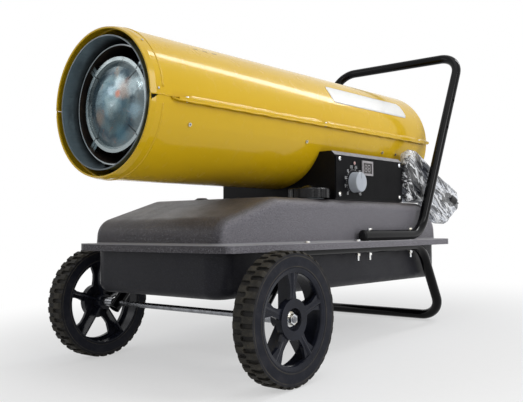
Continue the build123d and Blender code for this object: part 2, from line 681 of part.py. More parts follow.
def barrel_screws():
    """Alike sheet screws: down through the side flanges, and in through the lower shell's sides."""
    x = SHELL_R + SIDE_FLANGE / 2
    top = BARREL_Z + SHELL_T
    head = rod_z(SCREW_HEAD_R, 0, 0, (0, SCREW_HEAD_H)) + rod_z(SCREW_D / 2, 0, 0, (-SCREW_L, 0.5))
    shapes = []
    for y in SHELL_SCREW_Y:
        shapes += both_sides(Pos(x, y, top) * head)
    side = Pos(SHELL_R + SEAT, 0, BARREL_Z) * Rot(0, 90, 0) * head
    for a, y in side_screws_at(SHIELD_SCREW_Y + MOTOR_SCREW_Y):
        shapes.append(about_barrel(Pos(0, y, 0) * side, a))
    return group(shapes)


# ------------------------------------------------------------------ burner
def heat_shield():
    bead = 1.5
    tube = band((SHIELD_Y0, SHIELD_Y1), (SHIELD_R - SHELL_T, SHIELD_R))
    return tube + band((SHIELD_Y0, SHIELD_Y0 + 3), (SHIELD_R - SHELL_T, SHIELD_R + bead))


def shield_brackets():
    """Hat-shaped straps between the heat shield and the lower shell."""
    straps = []
    inner, outer = SHIELD_R + SEAT, SHELL_IN - SEAT
    for a, y in side_screws_at(SHIELD_SCREW_Y):
        span = (y - BRACKET_W / 2, y + BRACKET_W / 2)
        strap = band(span, (outer - BRACKET_T, outer), a - FOOT_SPAN / 2, FOOT_SPAN)
        strap += band(span, (inner, inner + BRACKET_T), a + FOOT_SPAN / 2 - 1, FOOT_SPAN / 2 + 1)
        strap += band(span, (inner, inner + BRACKET_T), a - FOOT_SPAN, FOOT_SPAN / 2 + 1)
        for edge in (a - FOOT_SPAN / 2, a + FOOT_SPAN / 2 - 1):
            strap += band(span, (inner, outer), edge, 1.0)
        strap -= about_barrel(rod_x(SCREW_D / 2 + ROD_CLEAR, (SHIELD_R, SHELL_R), y, BARREL_Z), a)
        straps.append(strap)
    return group(straps)


def combustion_chamber():
    tube = band((CHAMBER_Y0, CHAMBER_Y1), (CHAMBER_R - SHELL_T, CHAMBER_R))
    tube += band((CHAMBER_Y1 - SHELL_T, CHAMBER_Y1), (HEAD_R + SEAT, CHAMBER_R))
    tube += band((CHAMBER_Y0, CHAMBER_Y0 + 3), (CHAMBER_R - SHELL_T, CHAMBER_R + 1.5))
    hole = rod_x(6.0, (CHAMBER_R - 10, CHAMBER_R + 10), CHAMBER_Y1 - 60, BARREL_Z)
    tube -= [about_barrel(hole, 30 + 60 * i) for i in range(6)]
    for y in (CHAMBER_Y0 + 30, CHAMBER_Y1 - 30):
        for i in range(6):
            tube += band((y - 10, y + 10), (CHAMBER_R - 0.5, SHIELD_R - SHELL_T - SEAT), 60 * i - 3, 6)
    return tube


def flame_baffle():
    """A domed disc with a turned rim, held in the chamber's mouth by four tabs."""
    dome_edge = BAFFLE_R - BAFFLE_LIP
    y = CHAMBER_Y0
    steps = [(0.0, 1.0), (0.35, 0.94), (0.65, 0.72), (0.87, 0.36), (1.0, 0.0)]
    front = [(y + 4 - BAFFLE_DOME * h, dome_edge * r) for r, h in steps]
    back = [(py + SHELL_T, pr) for py, pr in reversed(front)]
    rim = [(y, dome_edge + 1), (y, BAFFLE_R), (y + BAFFLE_RIM_L, BAFFLE_R), (y + BAFFLE_RIM_L, BAFFLE_R - SHELL_T),
           (y + 4 + SHELL_T, BAFFLE_R - SHELL_T)]
    disc = turned(front + rim + back)
    wall = CHAMBER_R - SHELL_T - SEAT
    tab = block((BAFFLE_R - SHELL_T / 2, wall - 0.7), (y + 6, y + 6 + SHELL_T),
                (BARREL_Z - TAB_W / 2, BARREL_Z + TAB_W / 2))
    tab += block((wall - 0.7 - SHELL_T, wall - 0.7), (y + 6, y + 6 + TAB_L),
                 (BARREL_Z - TAB_W / 2, BARREL_Z + TAB_W / 2))
    for a in TAB_A:
        disc += about_barrel(tab, a)
    return disc


def burner_head():
    y1 = CHAMBER_Y1 + 10
    y0 = y1 - HEAD_L
    cup = band((y0, y1), (HEAD_R - SHELL_T, HEAD_R)) + band((y1 - SHELL_T, y1), (NOZZLE_R + SEAT, HEAD_R))
    cup += band((CHAMBER_Y1 + SEAT, CHAMBER_Y1 + SEAT + SHELL_T), (HEAD_R - SHELL_T, HEAD_R + 8))
    slot = block((NOZZLE_R + 8, HEAD_R - 8), (y1 - 4, y1 + 4), (BARREL_Z - 2.5, BARREL_Z + 2.5))
    cup -= [about_barrel(slot, 22.5 + 360 / HEAD_SLOTS * i) for i in range(HEAD_SLOTS)]
    for x in (-ELECTRODE_X, ELECTRODE_X):
        cup -= rod_y(ELECTRODE_R + SEAT, x, (y1 - 5, y1 + 5), BARREL_Z + ELECTRODE_Z)
    return cup - rod_y(CELL_R + SEAT, CELL_X, (y1 - 5, y1 + 5), BARREL_Z + CELL_Z)


HEAD_Y1 = CHAMBER_Y1 + 10


def fuel_nozzle():
    y = (HEAD_Y1 - 22, HEAD_Y1 - 22 + NOZZLE_L)
    body = rod_y(NOZZLE_R, 0, y, BARREL_Z) + rod_y(TIP_R, 0, (y[0] - 6, y[0] + 1), BARREL_Z)
    body += rod_y(NOZZLE_R + 4, 0, (HEAD_Y1 + SEAT, HEAD_Y1 + 4), BARREL_Z)
    return body - rod_y(HOSE_R + SEAT, 0, (y[1] - 8, y[1] + 1), BARREL_Z) - rod_z(
        HOSE_R + SEAT, 0, HEAD_Y1 + AIR_PORT, (BARREL_Z - NOZZLE_R - 5, BARREL_Z - 5))


def ignition_electrodes():
    rods = []
    for x in (-ELECTRODE_X, ELECTRODE_X):
        y = (HEAD_Y1 - ELECTRODE_L + 20, HEAD_Y1 + 20)
        rod = rod_y(ELECTRODE_R, x, y, BARREL_Z + ELECTRODE_Z)
        rods.append(rod + rod_y(WIRE_R, x, (y[0] - 14, y[0] + 1), BARREL_Z + ELECTRODE_Z))
    return group(rods)


def photocell():
    y = (HEAD_Y1 - 8, HEAD_Y1 - 8 + CELL_L)
    body = rod_y(CELL_R, CELL_X, y, BARREL_Z + CELL_Z)
    return body + rod_y(CELL_R + 2, CELL_X, (HEAD_Y1 + SEAT, HEAD_Y1 + 5), BARREL_Z + CELL_Z)


# ------------------------------------------------------------------ fan, motor and air pump
def drive_shaft():
    bar = rod_y(SHAFT_D / 2, 0, (FAN_Y - FAN_HUB_L / 2 - 6, PUMP_Y1 - 12), BARREL_Z)
    return chamfer(bar.edges().filter_by(GeomType.CIRCLE), 0.8)


def fan():
    blade = loft([blade_section(FAN_HUB_R - 3, FAN_CHORD0, FAN_PITCH0), blade_section(FAN_R, FAN_CHORD1, FAN_PITCH1)])
    wheel = Cylinder(FAN_HUB_R, FAN_HUB_L) + [Rot(0, 0, 360 / FAN_BLADES * i) * blade for i in range(FAN_BLADES)]
    wheel &= Cylinder(FAN_R, 4 * FAN_HUB_L)
    return along_barrel(wheel - Cylinder(SHAFT_D / 2 + RUN_FIT, 2 * FAN_CHORD1), FAN_Y)


def blade_section(radius, chord, pitch):
    p = math.radians(pitch)
    plane = Plane(origin=(radius, 0, 0), x_dir=(0, math.cos(p), math.sin(p)), z_dir=(1, 0, 0))
    return plane * Rectangle(chord, BLADE_T)


def motor_housing():
    y0, y1 = MOTOR_Y0, MOTOR_Y1
    seat = BEARING_W + 2
    shell = rod_y(MOTOR_R, 0, (y0, y1), BARREL_Z)
    shell = chamfer(shell.edges().filter_by(GeomType.CIRCLE), 4.0)
    shell -= rod_y(MOTOR_R - MOTOR_T, 0, (y0 + BELL_T, y1 - BELL_T), BARREL_Z)
    for y in ((y0 + BELL_T - 1, y0 + seat + BELL_T), (y1 - seat - BELL_T, y1 - BELL_T + 1)):
        shell += rod_y(BEARING_R + 3, 0, y, BARREL_Z)
    shell -= rod_y(SHAFT_D / 2 + 1.5, 0, (y0 - 1, y1 + 1), BARREL_Z)
    for y in ((y0 + BELL_T, y0 + BELL_T + BEARING_W), (y1 - BELL_T - BEARING_W, y1 - BELL_T)):
        shell -= rod_y(BEARING_R + RUN_FIT, 0, y, BARREL_Z)
    for y in ((y0 + BELL_T + BEARING_W - 1, y0 + 60), (y1 - 60, y1 - BELL_T - BEARING_W + 1)):
        shell -= rod_y(BEARING_R - 3, 0, y, BARREL_Z)
    vent = block((30, 50), (y0 - 5, y0 + 10), (BARREL_Z - 3, BARREL_Z + 3))
    return shell - [about_barrel(vent, 30 + 60 * i) for i in range(6)]


def motor_bearings():
    rings = []
    for y in ((MOTOR_Y0 + BELL_T, MOTOR_Y0 + BELL_T + BEARING_W), (MOTOR_Y1 - BELL_T - BEARING_W, MOTOR_Y1 - BELL_T)):
        rings.append(band(y, (SHAFT_D / 2 + RUN_FIT, BEARING_R)))
    return group(rings)


def motor_core(radii, length):
    middle = (MOTOR_Y0 + MOTOR_Y1) / 2
    return band((middle - length / 2, middle + length / 2), radii)


def motor_bracket():
    """A strap under the motor with two arms out to the lower shell."""
    y = (MOTOR_SCREW_Y[0] - 14, MOTOR_SCREW_Y[1] + 14)
    y = (y[0], min(y[1], MOTOR_Y1 - 2))
    inner, outer = MOTOR_R + SEAT, SHELL_IN - SEAT
    span = 180 + 2 * SIDE_SCREW_A
    strap = band(y, (inner, inner + BRACKET_T), 180 - SIDE_SCREW_A, span)
    long_y = (MOTOR_SCREW_Y[0] - 14, MOTOR_SCREW_Y[1] + 14)
    arm = block((inner, outer - 0.2), long_y, (BARREL_Z - BRACKET_T / 2, BARREL_Z + BRACKET_T / 2))
    for a, foot in ((SIDE_SCREW_A - FOOT_SPAN / 4, SIDE_SCREW_A - FOOT_SPAN / 4),
                    (180 - SIDE_SCREW_A + FOOT_SPAN / 4, 180 - SIDE_SCREW_A - FOOT_SPAN * 0.75)):
        strap += about_barrel(arm, a)
        strap += band(long_y, (outer - BRACKET_T, outer), foot, FOOT_SPAN)
    for a, yy in side_screws_at(MOTOR_SCREW_Y):
        strap -= about_barrel(rod_x(SCREW_D / 2 + ROD_CLEAR, (SHELL_R - 12, SHELL_R), yy, BARREL_Z), a)
    return strap


def pump_housing():
    body = rod_y(PUMP_R, 0, (MOTOR_Y1 + 0.1, PUMP_Y1), BARREL_Z)
    y0 = MOTOR_Y1 + (PUMP_L - PUMP_ROTOR_L) / 2 - PUMP_SIDE
    y1 = y0 + PUMP_ROTOR_L + 2 * PUMP_SIDE
    body -= rod_y(PUMP_BORE, PUMP_OFFSET, (y0, y1), BARREL_Z)
    body -= rod_y(SHAFT_D / 2 + RUN_FIT, 0, (MOTOR_Y1 - 1, PUMP_Y1 - 6), BARREL_Z)
    body -= rod_z(HOSE_R + SEAT, 0, (y0 + y1) / 2, (BARREL_Z - PUMP_R - 1, BARREL_Z - PUMP_R + 8))
    return body - rod_y(3.0, PUMP_BORE - 6, (y1 - 1, PUMP_Y1 + 1), BARREL_Z)


def pump_rotor():
    y = (MOTOR_Y1 + (PUMP_L - PUMP_ROTOR_L) / 2, MOTOR_Y1 + (PUMP_L + PUMP_ROTOR_L) / 2)
    rotor = band(y, (SHAFT_D / 2 + RUN_FIT, PUMP_ROTOR_R))
    slot = vane_block(y, RUN_FIT)
    rotor -= [about_barrel(slot, 90 * i) for i in range(VANES)]
    return group([rotor] + [about_barrel(vane_block(y, 0.0), 90 * i) for i in range(VANES)])


def vane_block(y, clearance):
    inner = PUMP_ROTOR_R - VANE_L - clearance
    half = VANE_T / 2 + clearance
    return block((inner, PUMP_ROTOR_R + (1 if clearance else -0.5)), y, (BARREL_Z - half, BARREL_Z + half))


def intake_filter():
    return band((PUMP_Y1 + 0.5, PUMP_Y1 + FILTER_L), (8.0, PUMP_R - COVER_T - 2))


def filter_cover():
    cover = rod_y(PUMP_R, 0, (PUMP_Y1 + 0.1, COVER_Y1), BARREL_Z)
    cover = chamfer(cover.edges().filter_by(GeomType.CIRCLE).sort_by(Axis.Y)[-1], 5.0)
    cover -= rod_y(PUMP_R - COVER_T, 0, (PUMP_Y1, COVER_Y1 - 6), BARREL_Z)
    cover += rod_y(7.5, 0, (PUMP_Y1 + 0.1, COVER_Y1), BARREL_Z)
    vent = block((15, 36), (COVER_Y1 - 8, COVER_Y1 + 2), (BARREL_Z - 2, BARREL_Z + 2))
    return cover - [about_barrel(vent, 45 * i) for i in range(8)]


def rear_guard():
    """A welded wire guard, clipped inside the barrel's rear end."""
    half = WIRE_D / 2
    outer = SHELL_IN - SEAT
    guard = band((GUARD_Y - GUARD_RIM, GUARD_Y + GUARD_RIM), (outer - 1.5, outer))
    for r in GUARD_RINGS:
        guard += band((GUARD_Y - half, GUARD_Y + half), (r - half, r + half))
    spoke = rod_x(half, (GUARD_RINGS[0], outer - 0.7), GUARD_Y, BARREL_Z)
    return guard + [about_barrel(spoke, 360 / GUARD_SPOKES * (i + 0.5)) for i in range(GUARD_SPOKES)]


# ------------------------------------------------------------------ hoses and leads inside
def fuel_hose():
    """From the tank's top through the lower shell and forward to the nozzle's rear end."""
    end = HEAD_Y1 - 22 + NOZZLE_L - 7
    path = FilletPolyline((FUEL_HOSE_X, HOSE_Y, TANK_TOP - 60), (FUEL_HOSE_X, HOSE_Y, BARREL_Z), (0, HOSE_Y, BARREL_Z),
                          (0, end, BARREL_Z), radius=24.0)
    return piped(path, HOSE_R, HOSE_WALL)


def air_hose():
    """From the pump forward along the bottom of the barrel, clear of the fan, to the nozzle's side."""
    y = MOTOR_Y1 + PUMP_L / 2
    low = BARREL_Z - AIR_HOSE_R
    path = FilletPolyline((0, y, BARREL_Z - PUMP_R + 7), (0, y, low), (0, HEAD_Y1 + AIR_PORT, low),
                          (0, HEAD_Y1 + AIR_PORT, BARREL_Z - 5.5), radius=24.0)
    return piped(path, HOSE_R, HOSE_WALL)


def ignition_leads():
    """From the transformer up through the lower shell and forward to the electrodes."""
    leads = []
    start, high = TANK_TOP + TANK_T + TRAFO[2] - 6, BARREL_Z + ELECTRODE_Z
    for x, y, end_x in zip(LEAD_X, LEAD_Y, (-ELECTRODE_X, ELECTRODE_X)):
        path = FilletPolyline((x, y, start), (x, y, high), (end_x, y, high), (end_x, HEAD_Y1 + 20, high), radius=14.0)
        leads.append(piped(path, LEAD_R))
    return group(leads)


# ------------------------------------------------------------------ pedestal and controls
def pedestal():
    """A sheet box on the tank's top that carries the barrel in its curved front and rear walls."""
    def outline(inset):
        x, top, bevel = PED_X - inset, PED_TOP - inset, PED_BEVEL
        low = TANK_TOP + inset
        return make_face(Polyline((-x, low), (-x, top - bevel), (bevel - x, top), (x - bevel, top), (x, top - bevel),
                                  (x, low), close=True))
    box = Pos(0, PED_Y1, 0) * extrude(Plane.XZ * outline(0.0), PED_Y1 - PED_Y0)
    box -= Pos(0, PED_Y1 - TANK_T, 0) * extrude(Plane.XZ * outline(TANK_T), PED_Y1 - PED_Y0 - 2 * TANK_T)
    box -= rod_y(SHELL_R + SEAT, 0, (PED_Y0 - 1, PED_Y1 + 1), BARREL_Z)
    window_y, window_z = panel_window(PANEL_EDGE)
    box -= block((PED_X - 5, PED_X + 5), window_y, window_z)
    for y in PANEL_SCREW_Y:
        for z in PANEL_SCREW_Z:
            box -= rod_x(SCREW_D / 2 + ROD_CLEAR, (PED_X - 8, PED_X + 8), y, z)
    box -= rod_z(HOSE_R + 1, FUEL_HOSE_X, HOSE_Y, (TANK_TOP - 1, TANK_TOP + 5))
    return box - rod_y(GLAND_R * 0.7 + RUN_FIT, GLAND_X, (PED_Y1 - 6, PED_Y1 + 6), GLAND_Z)


def panel_window(edge):
    """Y and Z of the control panel, set in from its outline by an edge."""
    y = (PED_Y0 + 2 + edge * 3, PED_Y1 - 2 - edge * 3)
    z = (TANK_TOP + 3 + edge * 0.5, PED_TOP - PED_BEVEL - 1 - edge * 0.5)
    return y, z


def control_panel():
    y, z = (PED_Y0 + 2, PED_Y1 - 2), (TANK_TOP + 3, PED_TOP - PED_BEVEL - 1)
    plate = block((PED_X, PED_X + PANEL_T), y, z)
    plate -= rod_x(SPINDLE_R + 0.6, (PED_X - 1, PED_X + 5), KNOB_Y, KNOB_Z)
    plate -= rod_x(LAMP_R + RUN_FIT, (PED_X - 1, PED_X + 5), LAMP_Y, LAMP_Z)
    plate -= block((PED_X - 1, PED_X + 5), shrink(DISPLAY_Y, 2), shrink(DISPLAY_Z, 2))
    for sy in PANEL_SCREW_Y:
        for sz in PANEL_SCREW_Z:
            plate -= rod_x(SCREW_D / 2 + ROD_CLEAR, (PED_X - 1, PED_X + 5), sy, sz)
    return plate


def shrink(pair, by):
    return pair[0] + by, pair[1] - by


def panel_screws():
    face = PED_X + PANEL_T
    shapes = []
    for y in PANEL_SCREW_Y:
        for z in PANEL_SCREW_Z:
            shapes.append(rod_x(SCREW_D / 2, (PED_X - 8, face + 1), y, z) + rod_x(
                SCREW_HEAD_R + 0.6, (face, face + SCREW_HEAD_H), y, z))
    return group(shapes)


def thermostat_knob():
    """A tapered round knob with a raised pointer on its face."""
    x0 = PED_X + PANEL_T + KNOB_GAP
    body = Cone(KNOB_R, KNOB_R - KNOB_TAPER, KNOB_L)
    body = chamfer(body.edges().filter_by(GeomType.CIRCLE).sort_by(Axis.Z)[-1], 1.2)
    body = Pos(x0 + KNOB_L / 2, KNOB_Y, KNOB_Z) * Rot(0, 90, 0) * body
    pointer = block((x0 + KNOB_L - 1, x0 + KNOB_L + 0.8), (KNOB_Y - 1.2, KNOB_Y + 1.2),
                    (KNOB_Z + KNOB_R * 0.35, KNOB_Z + KNOB_R * 0.88))
    return body + pointer + rod_x(SPINDLE_R, (PED_X - THERMO_L + 4, x0 + 1), KNOB_Y, KNOB_Z)


def thermostat():
    body = rod_x(THERMO_R, (PED_X - THERMO_L, PED_X - SEAT), KNOB_Y, KNOB_Z)
    return body - rod_x(SPINDLE_R + RUN_FIT, (PED_X - THERMO_L + 3.5, PED_X + 1), KNOB_Y, KNOB_Z)


def display():
    """The display's bezel and body, with its window set back."""
    face = PED_X + PANEL_T
    bezel = block((face, face + DISPLAY_PROUD), DISPLAY_Y, DISPLAY_Z)
    bezel += block((face - DISPLAY_DEPTH, face + 1), shrink(DISPLAY_Y, 2.3), shrink(DISPLAY_Z, 2.3))
    return bezel - block((face + 0.5, face + 5), shrink(DISPLAY_Y, DISPLAY_RIM), shrink(DISPLAY_Z, DISPLAY_RIM))


def indicator_lamp():
    face = PED_X + PANEL_T
    lamp = rod_x(LAMP_R, (PED_X - 10, face + 1), LAMP_Y, LAMP_Z) + rod_x(LAMP_R + 1.2, (face, face + 1.5), LAMP_Y, LAMP_Z)
    return lamp + Pos(face + 1.5, LAMP_Y, LAMP_Z) * Rot(0, 90, 0) * Cone(LAMP_R - 0.5, LAMP_R - 2, 2)


def circuit_board():
    """The control board on four posts behind the panel."""
    x1 = PED_X - THERMO_L - 4
    board = block((x1 - BOARD_T, x1), (PED_Y0 + 60, PED_Y0 + 230), (TANK_TOP + 12, TANK_TOP + 84))
    for y in (PED_Y0 + 99, PED_Y0 + 222):
        for z in (TANK_TOP + 18, TANK_TOP + 78):
            board += rod_x(2.5, (x1 - 1, PED_X - 0.1), y, z)
    for y, size in ((PED_Y0 + 95, 14), (PED_Y0 + 150, 22), (PED_Y0 + 195, 10)):
        board += block((x1 - BOARD_T - size, x1), (y - 9, y + 9), (TANK_TOP + 30, TANK_TOP + 52))
    return board


def ignition_transformer():
    x, y = TRAFO_AT
    z = TANK_TOP + TANK_T
    core = block((x - TRAFO[0] / 2, x + TRAFO[0] / 2), (y - TRAFO[1] / 2, y + TRAFO[1] / 2), (z, z + TRAFO[2]))
    core = chamfer(core.edges().filter_by(Axis.Z), 5.0)
    for post_x, post_y in zip(LEAD_X, LEAD_Y):
        core += rod_z(5.0, post_x, post_y, (z, z + TRAFO[2] - 6))
    return core + block((LEAD_X[0] - 8, LEAD_X[1] + 8), (LEAD_Y[1] - 8, y), (z, z + 20))


def cable_gland():
    """A screwed gland with a tapered bend protector."""
    gland = rod_y(GLAND_R * 0.7, GLAND_X, (PED_Y1 - 10, PED_Y1 + 1), GLAND_Z)
    collar = Rot(-90, 0, 0) * extrude(RegularPolygon(GLAND_R, 6, major_radius=False), GLAND_L)
    gland += Pos(GLAND_X, PED_Y1, GLAND_Z) * collar
    relief = Cone(GLAND_R - 1, CORD_D / 2 + 1.2, RELIEF_L)
    gland += Pos(GLAND_X, PED_Y1 + GLAND_L + RELIEF_L / 2 - 0.1, GLAND_Z) * Rot(-90, 0, 0) * relief
    return gland - rod_y(CORD_D / 2 + RUN_FIT, GLAND_X, (PED_Y1 - 20, PED_Y1 + 60), GLAND_Z)


# ------------------------------------------------------------------ power cord
def cord_radii(points):
    """The largest radius that the runs beside each corner leave room for."""
    radii = []
    for before, here, after in zip(points, points[1:], points[2:]):
        a, b = Vector(*here) - Vector(*before), Vector(*after) - Vector(*here)
        half = math.radians(a.get_angle(b)) / 2
        radii.append(0.45 * min(a.length, b.length) / math.tan(half))
    return radii


def hank_point(u, v, x):
    """A point of the hank: along its long axis, across it, and sideways."""
    lean = math.radians(HANK_LEAN)
    y = HANK_AT[1] + u * math.cos(lean) + v * math.sin(lean)
    z = HANK_AT[2] - u * math.sin(lean) + v * math.cos(lean)
    return x, y, z


def hank_path():
    """Loops that wind inward in one layer, climb to the next along a run, and wind out again."""
    half, step = HANK_RUN / 2, HANK_STEP / 2
    x0, x1 = HANK_AT[0] - step, HANK_AT[0] + step
    edges = []
    radius, x, side = HANK_R, x0, 1
    for turn in range(2 * HANK_HALF_TURNS):
        way = -1 if side > 0 else 1
        start, end = hank_point(-way * half, side * radius, x), hank_point(way * half, side * radius, x)
        if turn == HANK_HALF_TURNS:
            end = hank_point(way * half, side * radius, x1)
            edges += climb(start, end, way)
            x = x1
        else:
            edges.append(Line(start, end))
        growth = -step if turn < HANK_HALF_TURNS else step
        after = radius + growth
        bend, centre = (radius + after) / 2, side * (radius - after) / 2
        top = hank_point(way * (half + bend), centre, x)
        last = turn == 2 * HANK_HALF_TURNS - 1
        if last:
            quarter = hank_point(way * (half + bend * math.sin(math.pi / 4)), centre + side * bend * math.cos(math.pi / 4), x)
            edges.append(ThreePointArc(end, quarter, top))
        else:
            edges.append(ThreePointArc(end, top, hank_point(way * half, -side * after, x)))
        radius, side = after, -side
    return edges


def climb(start, end, way):
    """Two tangent arcs that carry the cord from one layer to the next along a run."""
    a, b = Vector(*start), Vector(*end)
    middle = (a + b) * 0.5
    along = Vector(*hank_point(way, 0, 0)) - Vector(*hank_point(0, 0, 0))
    first = TangentArc(a, middle, tangent=along)
    second = TangentArc(middle, b, tangent=first % 1)
    return [first, second]


def hank_ends():
    """Where the cord enters and leaves the hank, and its direction there."""
    edges = hank_path()
    return (edges[0] @ 0, edges[0] % 0), (edges[-1] @ 1, edges[-1] % 1)


def cord_hank():
    """The unbroken tube of the hank's loops."""
    path = Wire(hank_path())
    tube = piped(path, CORD_D / 2)
    print("hank length", round(path.length), "least gap", round(least_gap(path), 2),
          "volume ratio", round(tube.volume / (path.length * math.pi * CORD_D ** 2 / 4), 4))
    return tube


def least_gap(path):
    """The least room between stretches of the cord that aren't neighbours along it."""
    count = int(path.length / 3)
    points = [path @ (i / count) for i in range(count + 1)]
    apart = int(CORD_D * 3 / 3) + 2
    least = path.length
    for i, here in enumerate(points):
        for other in points[i + apart:]:
            least = min(least, (here - other).length)
    return least - CORD_D


def cord_route_in():
    """From the gland to the hank."""
    at, way = hank_ends()[0]
    entry = at - way * 18
    start = (GLAND_X, PED_Y1 + GLAND_L + RELIEF_L, GLAND_Z)
    return [start] + CORD_TAIL + [tuple(entry), tuple(at)]


def cord_route_out():
    """From the hank to the plug."""
    at, way = hank_ends()[1]
    leave = at + way * 16
    dip = math.radians(PLUG_DIP)
    before = (PLUG_AT[0], PLUG_AT[1] - 30 * math.cos(dip), PLUG_AT[2] + 30 * math.sin(dip))
    return [tuple(at), tuple(leave)] + PLUG_LEAD + [before, PLUG_AT]


def cord_stretch(route):
    radii = cord_radii(route)
    path = FilletPolyline(*route, radius=radii)
    tube = piped(path, CORD_D / 2)
    print("cord radii", [round(r) for r in radii], "length", round(path.length), "volume ratio",
          round(tube.volume / (path.length * math.pi * CORD_D ** 2 / 4), 4))
    return tube


def mains_plug():
    """A moulded round plug with two pins."""
    body = Pos(0, 0, PLUG_L / 2 + 6) * Cylinder(PLUG_R, PLUG_L - 12) + Pos(0, 0, 9) * Cone(CORD_D / 2 + 2, PLUG_R, 18)
    for x in (-PIN_GAP / 2, PIN_GAP / 2):
        body += Pos(x, 0, PLUG_L + PIN_L / 2 - 1) * Cylinder(PIN_R, PIN_L)
    return Pos(*PLUG_AT) * Rot(-90 - PLUG_DIP, 0, 0) * body


def cord_bag():
    """The clear bag round the hank and the plug: a thin pouch, open at its rear end and round the cord."""
    outline = make_face(Polyline(*BAG_OUTLINE, close=True))
    width = BAG_X[1] - BAG_X[0]
    pouch = Pos(BAG_X[0], 0, 0) * extrude(Plane.YZ * outline, width)
    inner = Pos(BAG_X[0] + BAG_T, 0, 0) * extrude(Plane.YZ * offset(outline, -BAG_T), width - 2 * BAG_T)
    pouch -= inner
    entry = block((BAG_X[0] - 1, BAG_X[0] + 2), BAG_ENTRY_Y, (BAG_OUTLINE[0][1] + 2, BAG_OUTLINE[0][1] + 32))
    rear = max(y for y, z in BAG_OUTLINE)
    mouth = block((BAG_X[0] + BAG_T, BAG_X[1] - BAG_T), (rear - 10, rear + 1), BAG_MOUTH_Z)
    return pouch - entry - mouth


# ------------------------------------------------------------------ the heater
def pieces():
    """Every node by name, level."""
    wheel_tyre, wheel_rim = on_axle(tyre()), on_axle(rim())
    return {
        "right_tyre": wheel_tyre, "left_tyre": mirror(wheel_tyre, about=Plane.YZ),
        "right_rim": wheel_rim, "left_rim": mirror(wheel_rim, about=Plane.YZ),
        "axle": axle(), "axle_spacers": axle_spacers(), "axle_washers": axle_washers(), "axle_nuts": axle_nuts(),
        "support_frame": support_frame(), "handle_tube": handle_tube(), "handle_end_plugs": handle_plugs(),
        "frame_bolts": frame_bolts(), "frame_nuts": frame_nuts(),
        "tank_upper": tank_upper(), "tank_lower": tank_lower(), "filler_neck": filler_neck(),
        "fuel_strainer": fuel_strainer(), "cap_gasket": cap_gasket(), "fuel_cap": fuel_cap(),
        "upper_shell": upper_shell(), "lower_shell": lower_shell(), "barrel_screws": barrel_screws(),
        "heat_shield": heat_shield(), "shield_brackets": shield_brackets(), "combustion_chamber": combustion_chamber(),
        "flame_baffle": flame_baffle(), "burner_head": burner_head(),
        "fuel_nozzle": fuel_nozzle(), "ignition_electrodes": ignition_electrodes(), "photocell": photocell(),
        "drive_shaft": drive_shaft(), "fan": fan(), "motor_housing": motor_housing(), "motor_bearings": motor_bearings(),
        "motor_stator": motor_core((STATOR_R, MOTOR_R - MOTOR_T - SEAT), STATOR_L),
        "motor_rotor": motor_core((SHAFT_D / 2 + RUN_FIT, ROTOR_R), STATOR_L - 8),
        "motor_bracket": motor_bracket(), "pump_housing": pump_housing(), "pump_rotor": pump_rotor(),
        "intake_filter": intake_filter(), "filter_cover": filter_cover(),
        "rear_guard": rear_guard(), "fuel_hose": fuel_hose(), "air_hose": air_hose(), "ignition_leads": ignition_leads(),
        "pedestal": pedestal(), "control_panel": control_panel(), "panel_screws": panel_screws(),
        "thermostat_knob": thermostat_knob(), "thermostat": thermostat(),
        "display": display(), "indicator_lamp": indicator_lamp(),
        "circuit_board": circuit_board(), "ignition_transformer": ignition_transformer(), "cable_gland": cable_gland(),
        "cord_lead": cord_stretch(cord_route_in()), "plug_lead": cord_stretch(cord_route_out()),
        "cord_hank": cord_hank(), "mains_plug": mains_plug(), "cord_bag": cord_bag(),
    }


CORD_NODES = ("cord_lead", "plug_lead", "cord_hank", "mains_plug", "cord_bag")


def stood(shape, shift=0.0):
    """The shape with the heater on its tyres and rear foot, moved along Y."""
    return Pos(0, shift, AXLE_Z) * Rot(-STANCE, 0, 0) * Pos(0, 0, -AXLE_Z) * shape


def footprint_shift(nodes):
    """Moves the middle of the heater's length, without its cord, to Y = 0."""
    boxes = [stood(nodes[name]).bounding_box() for name in ("right_tyre", "lower_shell", "upper_shell", "handle_tube")]
    return -(min(b.min.Y for b in boxes) + max(b.max.Y for b in boxes)) / 2


def main():
    nodes = pieces()
    shift = footprint_shift(nodes)
    os.makedirs("parts", exist_ok=True)
    for name, shape in nodes.items():
        export_step(stood(shape, shift), f"parts/{name}.step")
    print("nodes", len(nodes), "stance", round(STANCE, 3), "shift", round(shift, 3))


main()
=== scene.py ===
import json
import random
from math import atan2, cos, hypot, pi, radians, sin, sqrt

import bmesh
import bpy
from mathutils import Matrix, Vector, noise
from mathutils.geometry import delaunay_2d_cdt


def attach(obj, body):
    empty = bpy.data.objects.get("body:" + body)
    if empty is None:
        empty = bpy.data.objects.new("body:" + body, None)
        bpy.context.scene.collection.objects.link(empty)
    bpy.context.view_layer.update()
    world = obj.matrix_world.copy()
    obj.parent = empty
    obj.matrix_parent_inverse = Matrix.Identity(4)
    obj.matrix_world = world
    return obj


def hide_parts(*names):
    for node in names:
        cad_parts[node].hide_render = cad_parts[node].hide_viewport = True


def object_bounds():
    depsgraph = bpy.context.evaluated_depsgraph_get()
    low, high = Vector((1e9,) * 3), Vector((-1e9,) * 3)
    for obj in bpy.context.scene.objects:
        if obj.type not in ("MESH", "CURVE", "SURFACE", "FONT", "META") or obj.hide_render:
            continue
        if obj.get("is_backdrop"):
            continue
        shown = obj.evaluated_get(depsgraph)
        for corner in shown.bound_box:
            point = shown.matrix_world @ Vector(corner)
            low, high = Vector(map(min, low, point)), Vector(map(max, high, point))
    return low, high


# Looks of the forced air heater. New pieces are drawn level, in millimetres, as in the CAD source:
# X across (control panel at +X), Y back from the outlet, Z up, the axle at Y = 0 and Z = 125.
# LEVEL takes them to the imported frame, where the heater leans back on its rear foot.

